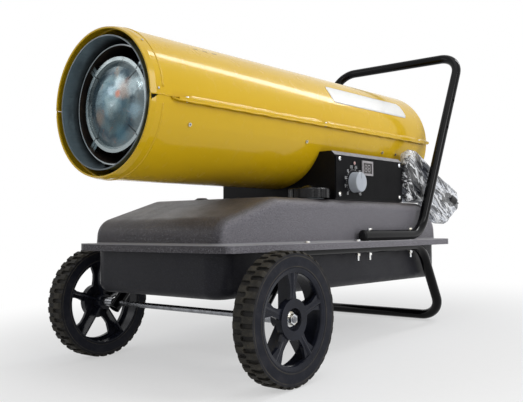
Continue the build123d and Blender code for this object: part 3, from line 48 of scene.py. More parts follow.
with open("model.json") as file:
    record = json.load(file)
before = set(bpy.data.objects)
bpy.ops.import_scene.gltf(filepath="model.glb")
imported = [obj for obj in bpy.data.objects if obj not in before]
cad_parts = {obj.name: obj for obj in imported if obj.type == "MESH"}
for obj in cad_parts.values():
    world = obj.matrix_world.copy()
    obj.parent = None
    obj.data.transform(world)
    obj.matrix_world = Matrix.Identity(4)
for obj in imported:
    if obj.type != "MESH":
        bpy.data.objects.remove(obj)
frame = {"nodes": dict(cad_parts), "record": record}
cad_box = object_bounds()
NODES = frame["nodes"]
scene = bpy.context.scene

MM = 0.001
LEAN = radians(3.13807)
SHIFT = -0.3753396
AXLE = 0.125
TURN = Matrix.Rotation(-LEAN, 4, "X")
LEVEL = (Matrix.Translation((0, SHIFT, AXLE)) @ TURN @ Matrix.Translation((0, 0, -AXLE))
         @ Matrix.Scale(MM, 4))

# Places on the solids that the added pieces and the materials follow.
BARREL_Z = 529.0
SHELL_R = 144.5
OUTLET_Y = -207.5
SEAM_Z = BARREL_Z + 1.0
FLANGE_START, FLANGE_END = -146.0, 807.5
BAFFLE_Y = -178.0
PANEL_FACE = 175.0
KNOB_Y, KNOB_Z = 386.7, 397.0
LAMP = (178, 389, 442)
SCREW_HEAD, SCREW_CROSS = 2.42, (2.2, 0.616)
FLANGE_SCREW_OUT, PANEL_SCREW_OUT = 4.25, 3.9
FLANGE_SCREWS = (-127, 312, 757)
SHELL_SCREWS = (-111, 253, 579, 645)
PANEL_SCREWS = [(y, z) for y in (328, 599) for z in (367.5, 449)]
BAG_MIDDLE = 172.9
HANK_MIDDLE, BAG_TOP = (173, 692, 408), (173, 645, 478)


def at(x, y, z):
    """A level point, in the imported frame."""
    return LEVEL @ Vector((x, y, z))


def placed(name, data):
    """A new object in the scene."""
    made = bpy.data.objects.new(name, data)
    scene.collection.objects.link(made)
    return made


# -------- camera
CAMERA_PLACE = (1105.15, -1053.54, 291.13)
CAMERA_TURNS = ((40.102, "Z"), (92.1404, "X"), (-0.3563, "Z"))
LENS, FILM_WIDTH = 50.11, 36.0


def make_camera():
    data = bpy.data.cameras.new("camera")
    data.lens, data.sensor_width = LENS, FILM_WIDTH
    data.clip_start, data.clip_end = 0.05, 60.0
    camera = placed("camera", data)
    look = Matrix()
    for angle, axis in CAMERA_TURNS:
        look = look @ Matrix.Rotation(radians(angle), 4, axis)
    camera.matrix_world = Matrix.Translation(at(*CAMERA_PLACE)) @ TURN @ look
    scene.camera = camera


make_camera()

# -------- power cord
CORD_RADIUS = 0.0035
CORD_IN = [(140, 651, 379), (140.5, 671, 378), (146, 692, 366), (155, 716, 365.2),
           (160, 731.3, 374.7), (164.5, 739.2, 390.9), (166.7, 737.6, 408.8)]
CORD_OUT = [(174.3, 732.5, 382.3), (175, 758, 394), (175.6, 794, 396), (175.6, 829.3, 386.8),
            (175.6, 858, 378)]
HANK_Y, HANK_Z, HANK_LEAN = 682, 419.5, radians(53)
HANK_LAYERS = (166.7, 174.3)
HANK_RUNS, RUNS_PER_LAYER = 10, 5
HANK_HALF, HANK_RADIUS, HANK_STEP = 24.0, 38.0, 3.8
BEND_ANGLES = (22.5, 67.5, 112.5, 157.5)


def hank_points():
    """Loops that wind inward in one layer, climb to the next along a run, and wind out again."""
    across, down = cos(HANK_LEAN), sin(HANK_LEAN)

    def point(u, v, x):
        return x, HANK_Y + u * across + v * down, HANK_Z - u * down + v * across

    points = []
    radius, side, x = HANK_RADIUS, 1, HANK_LAYERS[0]
    for run in range(HANK_RUNS):
        points.append(point(side * HANK_HALF, side * radius, x))
        if run == RUNS_PER_LAYER:
            x = HANK_LAYERS[1]
        points.append(point(-side * HANK_HALF, side * radius, x))
        after = radius - HANK_STEP if run < RUNS_PER_LAYER else radius + HANK_STEP
        bend, centre = (radius + after) / 2, side * (radius - after) / 2
        reach = bend / cos(radians(BEND_ANGLES[0]))
        for angle in BEND_ANGLES[:2] if run == HANK_RUNS - 1 else BEND_ANGLES:
            a = radians(angle)
            points.append(point(-side * (HANK_HALF + reach * sin(a)),
                                centre + side * reach * cos(a), x))
        radius, side = after, -side
    return points


def make_cord():
    """One smooth cord from the gland through the hank to the plug."""
    curve = bpy.data.curves.new("power_cord", "CURVE")
    curve.dimensions = "3D"
    curve.bevel_depth = CORD_RADIUS
    curve.bevel_resolution = 4
    curve.resolution_u = 6
    curve.use_fill_caps = True
    route = CORD_IN + hank_points() + CORD_OUT
    spline = curve.splines.new("NURBS")
    spline.points.add(len(route) - 1)
    for place, point in zip(route, spline.points):
        point.co = (*at(*place), 1.0)
    spline.order_u = 3
    spline.use_endpoint_u = True
    cord = placed("power_cord", curve)
    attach(cord, "heater_body")
    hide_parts("cord_lead", "cord_hank", "plug_lead")
    tuple(at(*route[0]))
    return cord


cord = make_cord()


# -------- materials
class Nodes:
    """Adds nodes to one tree, and sets or links their sockets."""

    def __init__(self, tree):
        self.tree = tree

    def feed(self, node, key, value):
        socket = node.inputs[key.replace("_", " ") if isinstance(key, str) else key]
        if isinstance(value, bpy.types.NodeSocket):
            self.tree.links.new(value, socket)
        elif socket.type == "RGBA" and len(value) == 3:
            socket.default_value = (*value, 1.0)
        else:
            socket.default_value = value

    def add(self, kind, sockets=None, **settings):
        """Adds a shader node, and returns its outputs."""
        node = self.tree.nodes.new("ShaderNode" + kind)
        for key, value in settings.items():
            setattr(node, key, value)
        for key, value in (sockets or {}).items():
            self.feed(node, key, value)
        return node.outputs

    def calc(self, kind, a, b=0.0, c=0.0, clamp=True):
        return self.add("Math", {0: a, 1: b, 2: c}, operation=kind, use_clamp=clamp)[0]

    def times(self, a, b):
        return self.calc("MULTIPLY", a, b)

    def most(self, a, b):
        return self.calc("MAXIMUM", a, b)

    def step(self, value, low, high, out_low=0.0, out_high=1.0):
        """A smooth step of a value between two levels."""
        return self.add("MapRange", {0: value, 1: low, 2: high, 3: out_low, 4: out_high},
                        interpolation_type="SMOOTHSTEP")[0]

    def mix(self, factor, a, b):
        return self.add("Mix", {0: factor, 6: a, 7: b}, data_type="RGBA")[2]

    def length(self, vector):
        return self.add("VectorMath", {0: vector}, operation="LENGTH")["Value"]

    def split(self, vector):
        """X, Y and Z of a vector."""
        return self.add("SeparateXYZ", {0: vector})

    def backdrop_rays(self):
        """1 for the rays that should see the white background."""
        rays = self.add("LightPath")
        seen = self.most(rays["Is Camera Ray"], rays["Is Glossy Ray"])
        return self.most(seen, rays["Is Transmission Ray"])


class Paint(Nodes):
    """One procedural material, laid out by the place of each point in the frame."""

    def __init__(self, name, **sockets):
        self.mat = bpy.data.materials.new(name)
        self.mat.use_nodes = True
        super().__init__(self.mat.node_tree)
        self.bsdf = self.tree.nodes["Principled BSDF"]
        self.place = self.add("TexCoord")["Object"]
        self.set(Base_Color=(0.5, 0.5, 0.5), **sockets)

    def set(self, **sockets):
        for key, value in sockets.items():
            self.feed(self.bsdf, key, value)
        return self.mat

    def moved(self, stretch=(1, 1, 1)):
        return self.add("Mapping", {"Vector": self.place, "Scale": stretch})[0]

    def clouds(self, vector, scale, detail, rough, twist):
        return self.add("TexNoise", {"Vector": vector, "Scale": scale, "Detail": detail,
                                     "Roughness": rough, "Distortion": twist})[0]

    def noise(self, scale, detail=3.0, rough=0.55, stretch=(1, 1, 1), twist=0.0):
        return self.clouds(self.moved(stretch), scale, detail, rough, twist)

    def fibres(self, turn, stretch, scale, detail=6.0, rough=0.75, twist=1.0):
        """Noise turned about X and then drawn out along its own axes."""
        drawn = self.add("Mapping", {"Vector": self.place, "Rotation": (radians(turn), 0, 0),
                                     "Scale": stretch}, vector_type="TEXTURE")[0]
        return self.clouds(drawn, scale, detail, rough, twist)

    def cells(self, scale, feature="F1"):
        return self.add("TexVoronoi", {"Vector": self.moved(), "Scale": scale},
                        feature=feature)["Distance"]

    def bands(self, direction, scale, twist):
        return self.add("TexWave", {"Vector": self.moved(), "Scale": scale, "Distortion": twist},
                        wave_type="BANDS", bands_direction=direction)["Fac"]

    def level(self):
        """The point's X, Y and Z in the level layout, in metres."""
        spot = [MM * c for c in LEVEL.inverted().translation]
        return self.split(self.add("Mapping", {"Vector": self.place, "Rotation": (LEAN, 0, 0),
                                               "Location": spot})[0])

    def ramp(self, value, stops):
        """A colour looked up by a value, between places and their colours."""
        colour = self.add("ValToRGB", {"Fac": value})[0]
        band = colour.node.color_ramp
        while len(band.elements) < len(stops):
            band.elements.new(0.5)
        for element, (place, tint) in zip(band.elements, stops):
            element.position = place
            element.color = (*tint, 1.0)
        return colour

    def bump(self, height, strength, distance, under=None):
        sockets = {"Height": height, "Strength": strength, "Distance": distance}
        if under is not None:
            sockets["Normal"] = under
        return self.add("Bump", sockets)[0]

    def reach(self, centre, axes=(1, 1, 1)):
        """Distance of the point from a centre, with some axes left out."""
        away = self.add("VectorMath", {0: self.place, 1: tuple(centre)}, operation="SUBTRACT")[0]
        return self.length(self.add("VectorMath", {0: away, 1: axes}, operation="MULTIPLY")[0])

    def facing(self, axis, kind="Normal"):
        """How much the surface faces along X, Y or Z (0, 1 or 2)."""
        return self.split(self.add("NewGeometry")[kind])[axis]

    def upward(self):
        """Where a surface faces up, and dust settles."""
        return self.step(self.facing(2), 0.15, 0.95)

    def front_edge(self):
        """Where a surface faces the outlet's end."""
        return self.step(self.facing(1, "True Normal"), -0.8, -0.95)

    def crevice(self, distance):
        return self.calc("SUBTRACT", 1.0,
                         self.add("AmbientOcclusion", {"Distance": distance}, samples=6)["AO"])

    def uneven(self, scale, low, high):
        """A roughness that wanders between two values."""
        return self.step(self.noise(scale, 4.0), 0.2, 0.9, low, high)


def yellow_paint():
    """Glossy enamel on slightly wavy sheet, dusty on top, with painted shade in the crevices."""
    p = Paint("yellow_paint", Roughness=0.3, Coat_Weight=0.35, Coat_Roughness=0.05,
              Specular_IOR_Level=0.12)
    deep = p.mix(p.noise(5.0, 4.0), (0.76, 0.49, 0.009), (0.68, 0.415, 0.006))
    dust = p.times(p.upward(), p.step(p.noise(160.0, 6.0, 0.7), 0.55, 0.8, 0.0, 0.22))
    # Painted shade: ambient occlusion darkens the paint to brown in the crevices.
    painted_crevice_shade = p.times(p.crevice(0.012), 0.45)
    colour = p.mix(dust, deep, (0.78, 0.66, 0.38))
    wavy = p.bump(p.noise(7.0, 1.0, 0.4, (1.6, 1.0, 1.0)), 0.35, 0.004)
    return p.set(Base_Color=p.mix(painted_crevice_shade, colour, (0.30, 0.16, 0.01)),
                 Roughness=p.uneven(40.0, 0.16, 0.34),
                 Normal=p.bump(p.noise(620.0, 2.0), 0.05, 0.0006, wavy))


def painted_tank_light(p, colour):
    """Painted light on the tank's top: faces turned sideways are painted paler, and a light line
    along the flange is dust brightened into a painted highlight.
    """
    # Painted light: sideways faces get pale patches, as if lit.
    sides = p.step(p.calc("ABSOLUTE", p.facing(0)), 0.6, 0.95, 0.0, 0.28)
    sides = p.times(sides, p.step(p.noise(420.0, 4.0, 0.8), 0.3, 0.65))
    colour = p.mix(sides, colour, (0.62, 0.60, 0.66))
    # Dust and painted highlight: a light band at the flange's height.
    height = p.level()[2]
    ledge_dust_and_highlight = p.times(p.step(height, 0.2585, 0.2596), p.step(height, 0.2640, 0.2620))
    return p.mix(p.times(ledge_dust_and_highlight, 0.85), colour, (0.36, 0.355, 0.37))


def painted_fold_highlight(p, colour):
    """Painted highlight on the pedestal: the slanting fold under the panel's top is painted a light
    grey.
    """
    slant = p.calc("SUBTRACT", p.facing(2, "True Normal"), 0.707, clamp=False)
    # Painted highlight: the rubbed mask lays the light grey on the slanting fold, broken up by
    # noise.
    rubbed = p.step(p.calc("ABSOLUTE", slant), 0.12, 0.04, 0.0, 0.75)
    rubbed = p.times(rubbed, p.step(p.noise(50.0, 5.0, 0.7), 0.2, 0.6, 0.5, 1.0))
    return p.mix(rubbed, colour, (0.42, 0.42, 0.44))


def speckled_black(name, base=(0.013, 0.013, 0.015), fleck=(0.26, 0.255, 0.28), dusted=0.42,
                   flecked=0.55, gloss=0.14, dust_tint=(0.24, 0.225, 0.22), painted_light=None):
    """Powder coat with fine light flecks, dusty where it faces up."""
    p = Paint(name, Specular_IOR_Level=gloss)
    coarse = p.step(p.noise(330.0, 4.0, 0.8), 0.4, 0.62, 0.35, 1.0)
    flecks = p.times(coarse, p.step(p.noise(850.0, 3.0, 0.75), 0.48, 0.7, 0.0, flecked))
    patches = p.step(p.noise(9.0, 5.0, 0.6), 0.3, 0.75)
    dusty = p.times(p.upward(), p.step(patches, 0.0, 1.0, 0.12, dusted))
    dust = p.times(dusty, p.step(p.noise(700.0, 3.0, 0.8), 0.3, 0.75, 0.45, 1.0))
    body = p.mix(p.noise(14.0, 3.0), base, tuple(1.5 * c for c in base))
    colour = p.mix(flecks, body, fleck)
    # Painted light given by the caller: pale sides and a flange highlight on the tank's top, a
    # light fold on the pedestal.
    if painted_light:
        colour = painted_light(p, colour)
    return p.set(Base_Color=p.mix(dust, colour, dust_tint), Roughness=p.uneven(30.0, 0.32, 0.48),
                 Normal=p.bump(p.noise(1500.0, 2.0, 0.6), 0.35, 0.0004))


def gloss_black():
    """Gloss enamel of the tubes, with a few dull scuffs."""
    p = Paint("gloss_black", Specular_IOR_Level=0.13)
    scuffs = p.step(p.noise(60.0, 6.0, 0.75, twist=0.6), 0.62, 0.76, 0.0, 0.3)
    body = p.mix(p.noise(12.0, 3.0), (0.001, 0.001, 0.0015), (0.003, 0.003, 0.004))
    return p.set(Base_Color=p.mix(scuffs, body, (0.02, 0.02, 0.024)),
                 Roughness=p.uneven(25.0, 0.07, 0.14),
                 Normal=p.bump(p.noise(500.0, 2.0), 0.04, 0.0004))


def moulded(name, base, high, rough, grain=900.0, dust=0.35, dust_colour=(0.12, 0.11, 0.10),
            relief=0.3, gloss=0.18):
    """Moulded plastic with a fine grain, a little dust and lighter rubbed places."""
    p = Paint(name, Specular_IOR_Level=gloss)
    colour = p.mix(p.step(p.noise(22.0, 5.0, 0.65), 0.3, 0.8), base, high)
    dirt = p.step(p.noise(90.0, 5.0, 0.7), 0.35, 0.8, 0.0, dust)
    dirt = p.times(dirt, p.step(p.crevice(0.02), 0.1, 0.8))
    return p.set(Base_Color=p.mix(dirt, colour, dust_colour), Roughness=p.uneven(60.0, *rough),
                 Normal=p.bump(p.noise(grain, 3.0), relief, 0.0003))


def tyre_rubber():
    """Black rubber with grey-brown dust on the tread, in its cuts and in two lines on the side."""
    p = Paint("tyre_rubber", Specular_IOR_Level=0.12)
    radius = p.reach((0, SHIFT, AXLE), (0, 1, 1))
    tread = p.step(radius, 0.1165, 0.1225)
    side = p.calc("SUBTRACT", 1.0, tread)
    patches = p.step(p.noise(45.0, 6.0, 0.7), 0.25, 0.8)
    film = p.calc("MULTIPLY_ADD", tread, p.step(patches, 0.0, 1.0, 0.15, 0.6),
                  p.step(patches, 0.3, 1.0, 0.0, 0.12))
    film = p.most(film, p.times(p.step(p.crevice(0.008), 0.15, 0.7), 0.4))
    lines = [p.step(p.calc("ABSOLUTE", p.calc("SUBTRACT", radius, line, clamp=False)), half, 0.0004)
             for line, half in ((0.1155, 0.0014), (0.0965, 0.0012))]
    lines = p.times(p.most(*lines), side)
    broken = p.step(p.noise(24.0, 5.0, 0.7), 0.3, 0.6, 0.2, 0.8)
    film = p.most(film, p.times(lines, broken))
    rings = p.calc("SINE", p.calc("MULTIPLY", radius, 2600.0, clamp=False), clamp=False)
    ribs = p.bump(p.times(rings, side), 0.25, 0.0004)
    body = p.mix(patches, (0.008, 0.009, 0.014), (0.015, 0.016, 0.024))
    body = p.mix(tread, body, (0.010, 0.010, 0.010))
    return p.set(Base_Color=p.mix(film, body, (0.088, 0.080, 0.066)),
                 Roughness=p.step(film, 0.0, 0.6, 0.52, 0.85),
                 Normal=p.bump(p.noise(380.0, 5.0, 0.7), 0.35, 0.0006, ribs))


def metal(name, base, dark, rough, relief=0.1):
    p = Paint(name, Metallic=1.0)
    cloud = p.step(p.noise(60.0, 5.0, 0.65), 0.25, 0.8)
    return p.set(Base_Color=p.mix(cloud, base, dark),
                 Roughness=p.step(p.noise(138.0, 4.0, 0.6), 0.2, 0.85, *rough),
                 Normal=p.bump(p.noise(540.0, 3.0, 0.6), relief, 0.0003))


def zinc_plate():
    """Bright plated steel with the faint blue and straw tints of its passivation."""
    p = Paint("zinc_plate", Metallic=1.0)
    tint = p.ramp(p.noise(110.0, 3.0, 0.6), [(0.3, (0.60, 0.64, 0.70)), (0.5, (0.68, 0.68, 0.67)),
                                             (0.7, (0.66, 0.60, 0.47))])
    spots = p.step(p.noise(300.0, 5.0, 0.75), 0.62, 0.8, 0.0, 0.5)
    return p.set(Base_Color=p.mix(spots, tint, (0.25, 0.24, 0.23)),
                 Roughness=p.uneven(90.0, 0.18, 0.42),
                 Normal=p.bump(p.noise(800.0, 3.0), 0.12, 0.0003))


def shield_steel():
    """Bare sheet tube: blue-grey, streaked along its length, darker further in towards the flame.
    """
    p = Paint("shield_steel", Metallic=0.7)
    streaks = p.noise(70.0, 5.0, 0.65, (1.0, 0.12, 1.0))
    base = p.mix(streaks, (0.42, 0.55, 0.62), (0.20, 0.28, 0.32))
    depth = p.calc("MULTIPLY_ADD", p.noise(14.0, 4.0), 0.06, p.split(p.place)[1], clamp=False)
    darkened = p.step(depth, -0.535, -0.475, 0.1, 0.88)
    spots = p.step(p.noise(160.0, 5.0, 0.75), 0.64, 0.78, 0.0, 0.55)
    colour = p.mix(spots, p.mix(darkened, base, (0.055, 0.052, 0.052)), (0.16, 0.11, 0.075))
    colour = p.mix(p.times(p.front_edge(), 0.8), colour, (0.05, 0.05, 0.052))
    return p.set(Base_Color=colour, Roughness=p.step(streaks, 0.3, 0.8, 0.3, 0.5),
                 Normal=p.bump(streaks, 0.12, 0.0008))


def oxidised_steel():
    """The chamber and burner cup: dark oxide over steel, with straw and violet heat bands."""
    p = Paint("oxidised_steel", Metallic=0.75)
    cloud = p.noise(28.0, 6.0, 0.7)
    bands = p.ramp(cloud, [(0.25, (0.045, 0.04, 0.038)), (0.45, (0.12, 0.105, 0.10)),
                           (0.58, (0.19, 0.13, 0.085)), (0.7, (0.10, 0.085, 0.115)),
                           (0.85, (0.2, 0.2, 0.2))])
    soot = p.step(p.noise(9.0, 4.0), 0.25, 0.6, 0.35, 0.85)
    darkened = p.mix(soot, bands, (0.018, 0.017, 0.017))
    return p.set(Base_Color=p.mix(p.front_edge(), darkened, (0.50, 0.53, 0.54)),
                 Roughness=p.step(cloud, 0.2, 0.8, 0.38, 0.62),
                 Normal=p.bump(p.noise(260.0, 5.0, 0.7), 0.25, 0.0006))


# Marks on the baffle, heat marks with painted highlights and painted shade among them: level X and
# Z in mm, radius in m, strength and tint.
BAFFLE_MARKS_AND_PAINTED_LIGHT = (
    # Painted highlights: the pale blue-white marks at (22, 566), (57, 560), (-4, 553) and (60,
    # 514), and the warm one at (33, 552).
    (22, 566, 0.030, 0.55, (0.50, 0.60, 0.64)), (33, 552, 0.030, 0.5, (0.45, 0.33, 0.27)),
    (17, 548.5, 0.013, 0.8, (0.36, 0.13, 0.085)), (43, 569, 0.013, 0.85, (0.15, 0.07, 0.05)),
    (-41, 507, 0.030, 0.5, (0.17, 0.105, 0.07)), (57, 560, 0.030, 0.7, (0.50, 0.62, 0.66)),
    (-4, 553, 0.018, 0.5, (0.36, 0.46, 0.52)), (60, 514, 0.026, 0.5, (0.30, 0.44, 0.52)),
    # Painted shade: the near-black marks at (-60, 545) and (8, 492).
    (-60, 545, 0.05, 0.7, (0.022, 0.045, 0.06)), (8, 492, 0.045, 0.6, (0.035, 0.052, 0.055)),
    (20, 470, 0.03, 0.5, (0.06, 0.15, 0.20)))


def tempered_steel():
    """The domed baffle: stainless steel blued by heat, with rust-brown blooms, a bright rim, and
    painted highlights and painted shade among its marks.
    """
    p = Paint("tempered_steel", Metallic=0.9)
    radius = p.reach(at(0, BAFFLE_Y, BARREL_Z), (1, 0, 1))
    cloud = p.noise(16.0, 5.0, 0.65, twist=0.8)
    drift = p.calc("MULTIPLY_ADD", cloud, 0.075, radius, clamp=False)
    rings = p.ramp(p.step(drift, 0.02, 0.135), [
        (0.0, (0.24, 0.29, 0.31)), (0.22, (0.15, 0.215, 0.235)), (0.42, (0.055, 0.10, 0.125)),
        (0.6, (0.08, 0.125, 0.14)), (0.78, (0.032, 0.055, 0.072)), (0.92, (0.12, 0.15, 0.16))])
    straw = p.step(p.noise(20.0, 4.0, 0.6, (1.3, 1, 1), 0.5), 0.56, 0.75, 0.0, 0.5)
    colour = p.mix(straw, rings, (0.26, 0.21, 0.15))
    blooms = p.step(p.noise(34.0, 6.0, 0.75, twist=1.2), 0.585, 0.70, 0.0, 0.7)
    colour = p.mix(blooms, colour, (0.30, 0.115, 0.06))
    rim = p.step(radius, 0.0805, 0.0825)
    colour = p.mix(p.times(rim, 0.85), colour, (0.31, 0.355, 0.365))
    ragged = p.noise(70.0, 5.0, 0.7)
    for x, z, size, most, tint in BAFFLE_MARKS_AND_PAINTED_LIGHT:
        near = p.reach(at(x, BAFFLE_Y - 2, z), (1, 0, 1))
        near = p.calc("MULTIPLY_ADD", ragged, -size, near, clamp=False)
        colour = p.mix(p.step(near, size * 0.35, -size * 0.35, 0.0, most), colour, tint)
    x, _, z = p.level()
    height = p.calc("SUBTRACT", z, MM * BARREL_Z, clamp=False)
    off = [p.calc("ABSOLUTE", value, clamp=False) for value in (x, height)]
    slant = p.calc("ABSOLUTE", p.calc("SUBTRACT", *off, clamp=False), clamp=False)
    slit = p.times(p.step(slant, 0.0022, 0.0010), p.step(radius, 0.058, 0.062))
    colour = p.mix(p.times(slit, 0.9), colour, (0.012, 0.012, 0.014))
    sweep = p.noise(90.0, 5.0, 0.7, (0.25, 1.0, 1.0), 0.4)
    dull = p.calc("ADD", sweep, p.times(blooms, 0.5))
    return p.set(Base_Color=colour, Roughness=p.step(dull, 0.3, 1.0, 0.2, 0.5),
                 Normal=p.bump(sweep, 0.1, 0.0008, p.bump(p.noise(11.0, 2.0), 0.3, 0.004)))


def lamp_lens():
    """Milky red lens in a black collar, by distance from the lamp's middle."""
    p = Paint("lamp_lens", Roughness=0.25)
    collar = p.step(p.reach(at(*LAMP), (0, 1, 1)), 0.0036, 0.0039)
    glass = p.mix(p.noise(500.0, 3.0), (0.52, 0.26, 0.24), (0.62, 0.42, 0.40))
    return p.set(Base_Color=p.mix(collar, glass, (0.012, 0.012, 0.013)),
                 Normal=p.bump(p.cells(900.0), 0.2, 0.0003))


def clear_film():
    """Thin clear plastic with white glints painted on as highlights, and dark folds painted on as
    shade along the pouch.

    It is tinted darker over the hank as painted shade, whitens at grazing angles as a painted
    sheen, and is frosted at the gathered top.
    """
    p = Paint("clear_film", Roughness=0.1, Specular_IOR_Level=0.4)
    off_hank = p.step(p.reach(at(*HANK_MIDDLE), (0, 1, 1)), 0.055, 0.08)
    fewer = p.calc("MULTIPLY_ADD", off_hank, -0.015, 0.015, clamp=False)
    # Painted highlights: white glints in two directions, fewer over the hank.
    glints, cross = (
        p.step(p.calc("SUBTRACT", p.fibres(turn, (1, drawn, 1), scale, 2.0, 0.55, 0.6), fewer),
               low, high, 0.0, most)
        for turn, drawn, scale, low, high, most in (
            (-38, 7.5, 110.0, 0.565, 0.615, 0.9), (-64, 6.0, 100.0, 0.59, 0.635, 0.85)))
    # Painted shade: dark folds along the pouch; shaded leaves them out at the frosted top.
    folds = p.step(p.fibres(-34, (1, 6.5, 1), 66.0, 2.0, 0.55, 0.6), 0.48, 0.54)
    tuft = p.step(p.reach(at(*BAG_TOP), (0, 1, 1)), 0.010, 0.036, 0.75, 0.0)
    frost = p.times(tuft, p.step(p.fibres(-50, (1, 3.5, 1), 150.0), 0.46, 0.53, 0.15, 1.0))
    white = p.most(p.most(glints, cross), frost)
    shaded = p.calc("SUBTRACT", folds, tuft)
    dark = p.times(shaded, p.step(p.level()[1], 0.74, 0.80, 0.6, 0.85))
    edge = p.add("LayerWeight", {"Blend": 0.3})["Facing"]
    # The cover of the painted marks, with a painted sheen where the film is seen at grazing angles.
    cover = p.most(p.most(white, dark), p.times(edge, 0.25))
    # White for the painted highlights and the frost, near black for the painted shade.
    tone = p.mix(p.calc("SUBTRACT", shaded, white), (0.92, 0.93, 0.95), (0.018, 0.019, 0.024))
    # Painted shade: the see-through film is tinted dark over the hank.
    tint = p.mix(off_hank, (0.10, 0.105, 0.12), (0.80, 0.82, 0.86))
    clear = p.add("BsdfTransparent", {"Color": tint})[0]
    sheen = p.add("BsdfGlossy", {"Color": (1, 1, 1), "Roughness": 0.07})[0]
    glossy = p.calc("MULTIPLY_ADD", edge, 0.22, 0.02)
    film = p.add("MixShader", {0: glossy, 1: clear, 2: sheen})[0]
    body = p.add("MixShader", {0: cover, 1: film, 2: p.bsdf.outputs[0]})[0]
    p.feed(p.tree.nodes["Material Output"], 0, body)
    return p.set(Base_Color=tone, Normal=p.bump(p.fibres(-36, (1, 2.5, 1), 75.0), 0.6, 0.003))


def plain_label():
    """A blank white label, slightly soiled."""
    p = Paint("plain_label", Roughness=0.32, Coat_Weight=0.3)
    soil = p.step(p.noise(50.0, 6.0, 0.7), 0.5, 0.8, 0.0, 0.3)
    return p.set(Base_Color=p.mix(soil, (0.82, 0.82, 0.80), (0.55, 0.53, 0.48)),
                 Normal=p.bump(p.noise(30.0, 3.0), 0.15, 0.001))


def printed_white():
    p = Paint("printed_white", Roughness=0.5)
    return p.set(Base_Color=p.mix(p.noise(400.0, 4.0), (0.72, 0.73, 0.74), (0.5, 0.5, 0.51)),
                 Normal=p.bump(p.noise(900.0, 2.0), 0.05, 0.0002))


def dark_glass():
    p = Paint("dark_glass", Roughness=0.1)
    return p.set(Base_Color=p.mix(p.noise(80.0, 3.0), (0.018, 0.014, 0.015), (0.04, 0.03, 0.03)),
                 Normal=p.bump(p.noise(60.0, 2.0), 0.03, 0.0005))


def green_board():
    """Laminate with copper tracks under the varnish."""
    p = Paint("green_board", Roughness=0.35)
    tracks = p.step(p.cells(260.0, "DISTANCE_TO_EDGE"), 0.02, 0.06)
    return p.set(Base_Color=p.mix(tracks, (0.05, 0.26, 0.10), (0.012, 0.09, 0.035)),
                 Normal=p.bump(tracks, 0.2, 0.0003))


def gauze_wire():
    p = Paint("gauze_wire", Metallic=1.0, Roughness=0.35)
    mesh = p.bands("DIAGONAL", 420.0, 0.6)
    return p.set(Base_Color=p.mix(mesh, (0.62, 0.6, 0.55), (0.2, 0.19, 0.17)),
                 Normal=p.bump(mesh, 0.6, 0.0006))


def laminated_iron():
    p = Paint("laminated_iron", Metallic=0.7, Roughness=0.45)
    sheets = p.bands("Y", 260.0, 0.2)
    return p.set(Base_Color=p.mix(sheets, (0.22, 0.21, 0.20), (0.10, 0.095, 0.09)),
                 Normal=p.bump(sheets, 0.4, 0.0004))


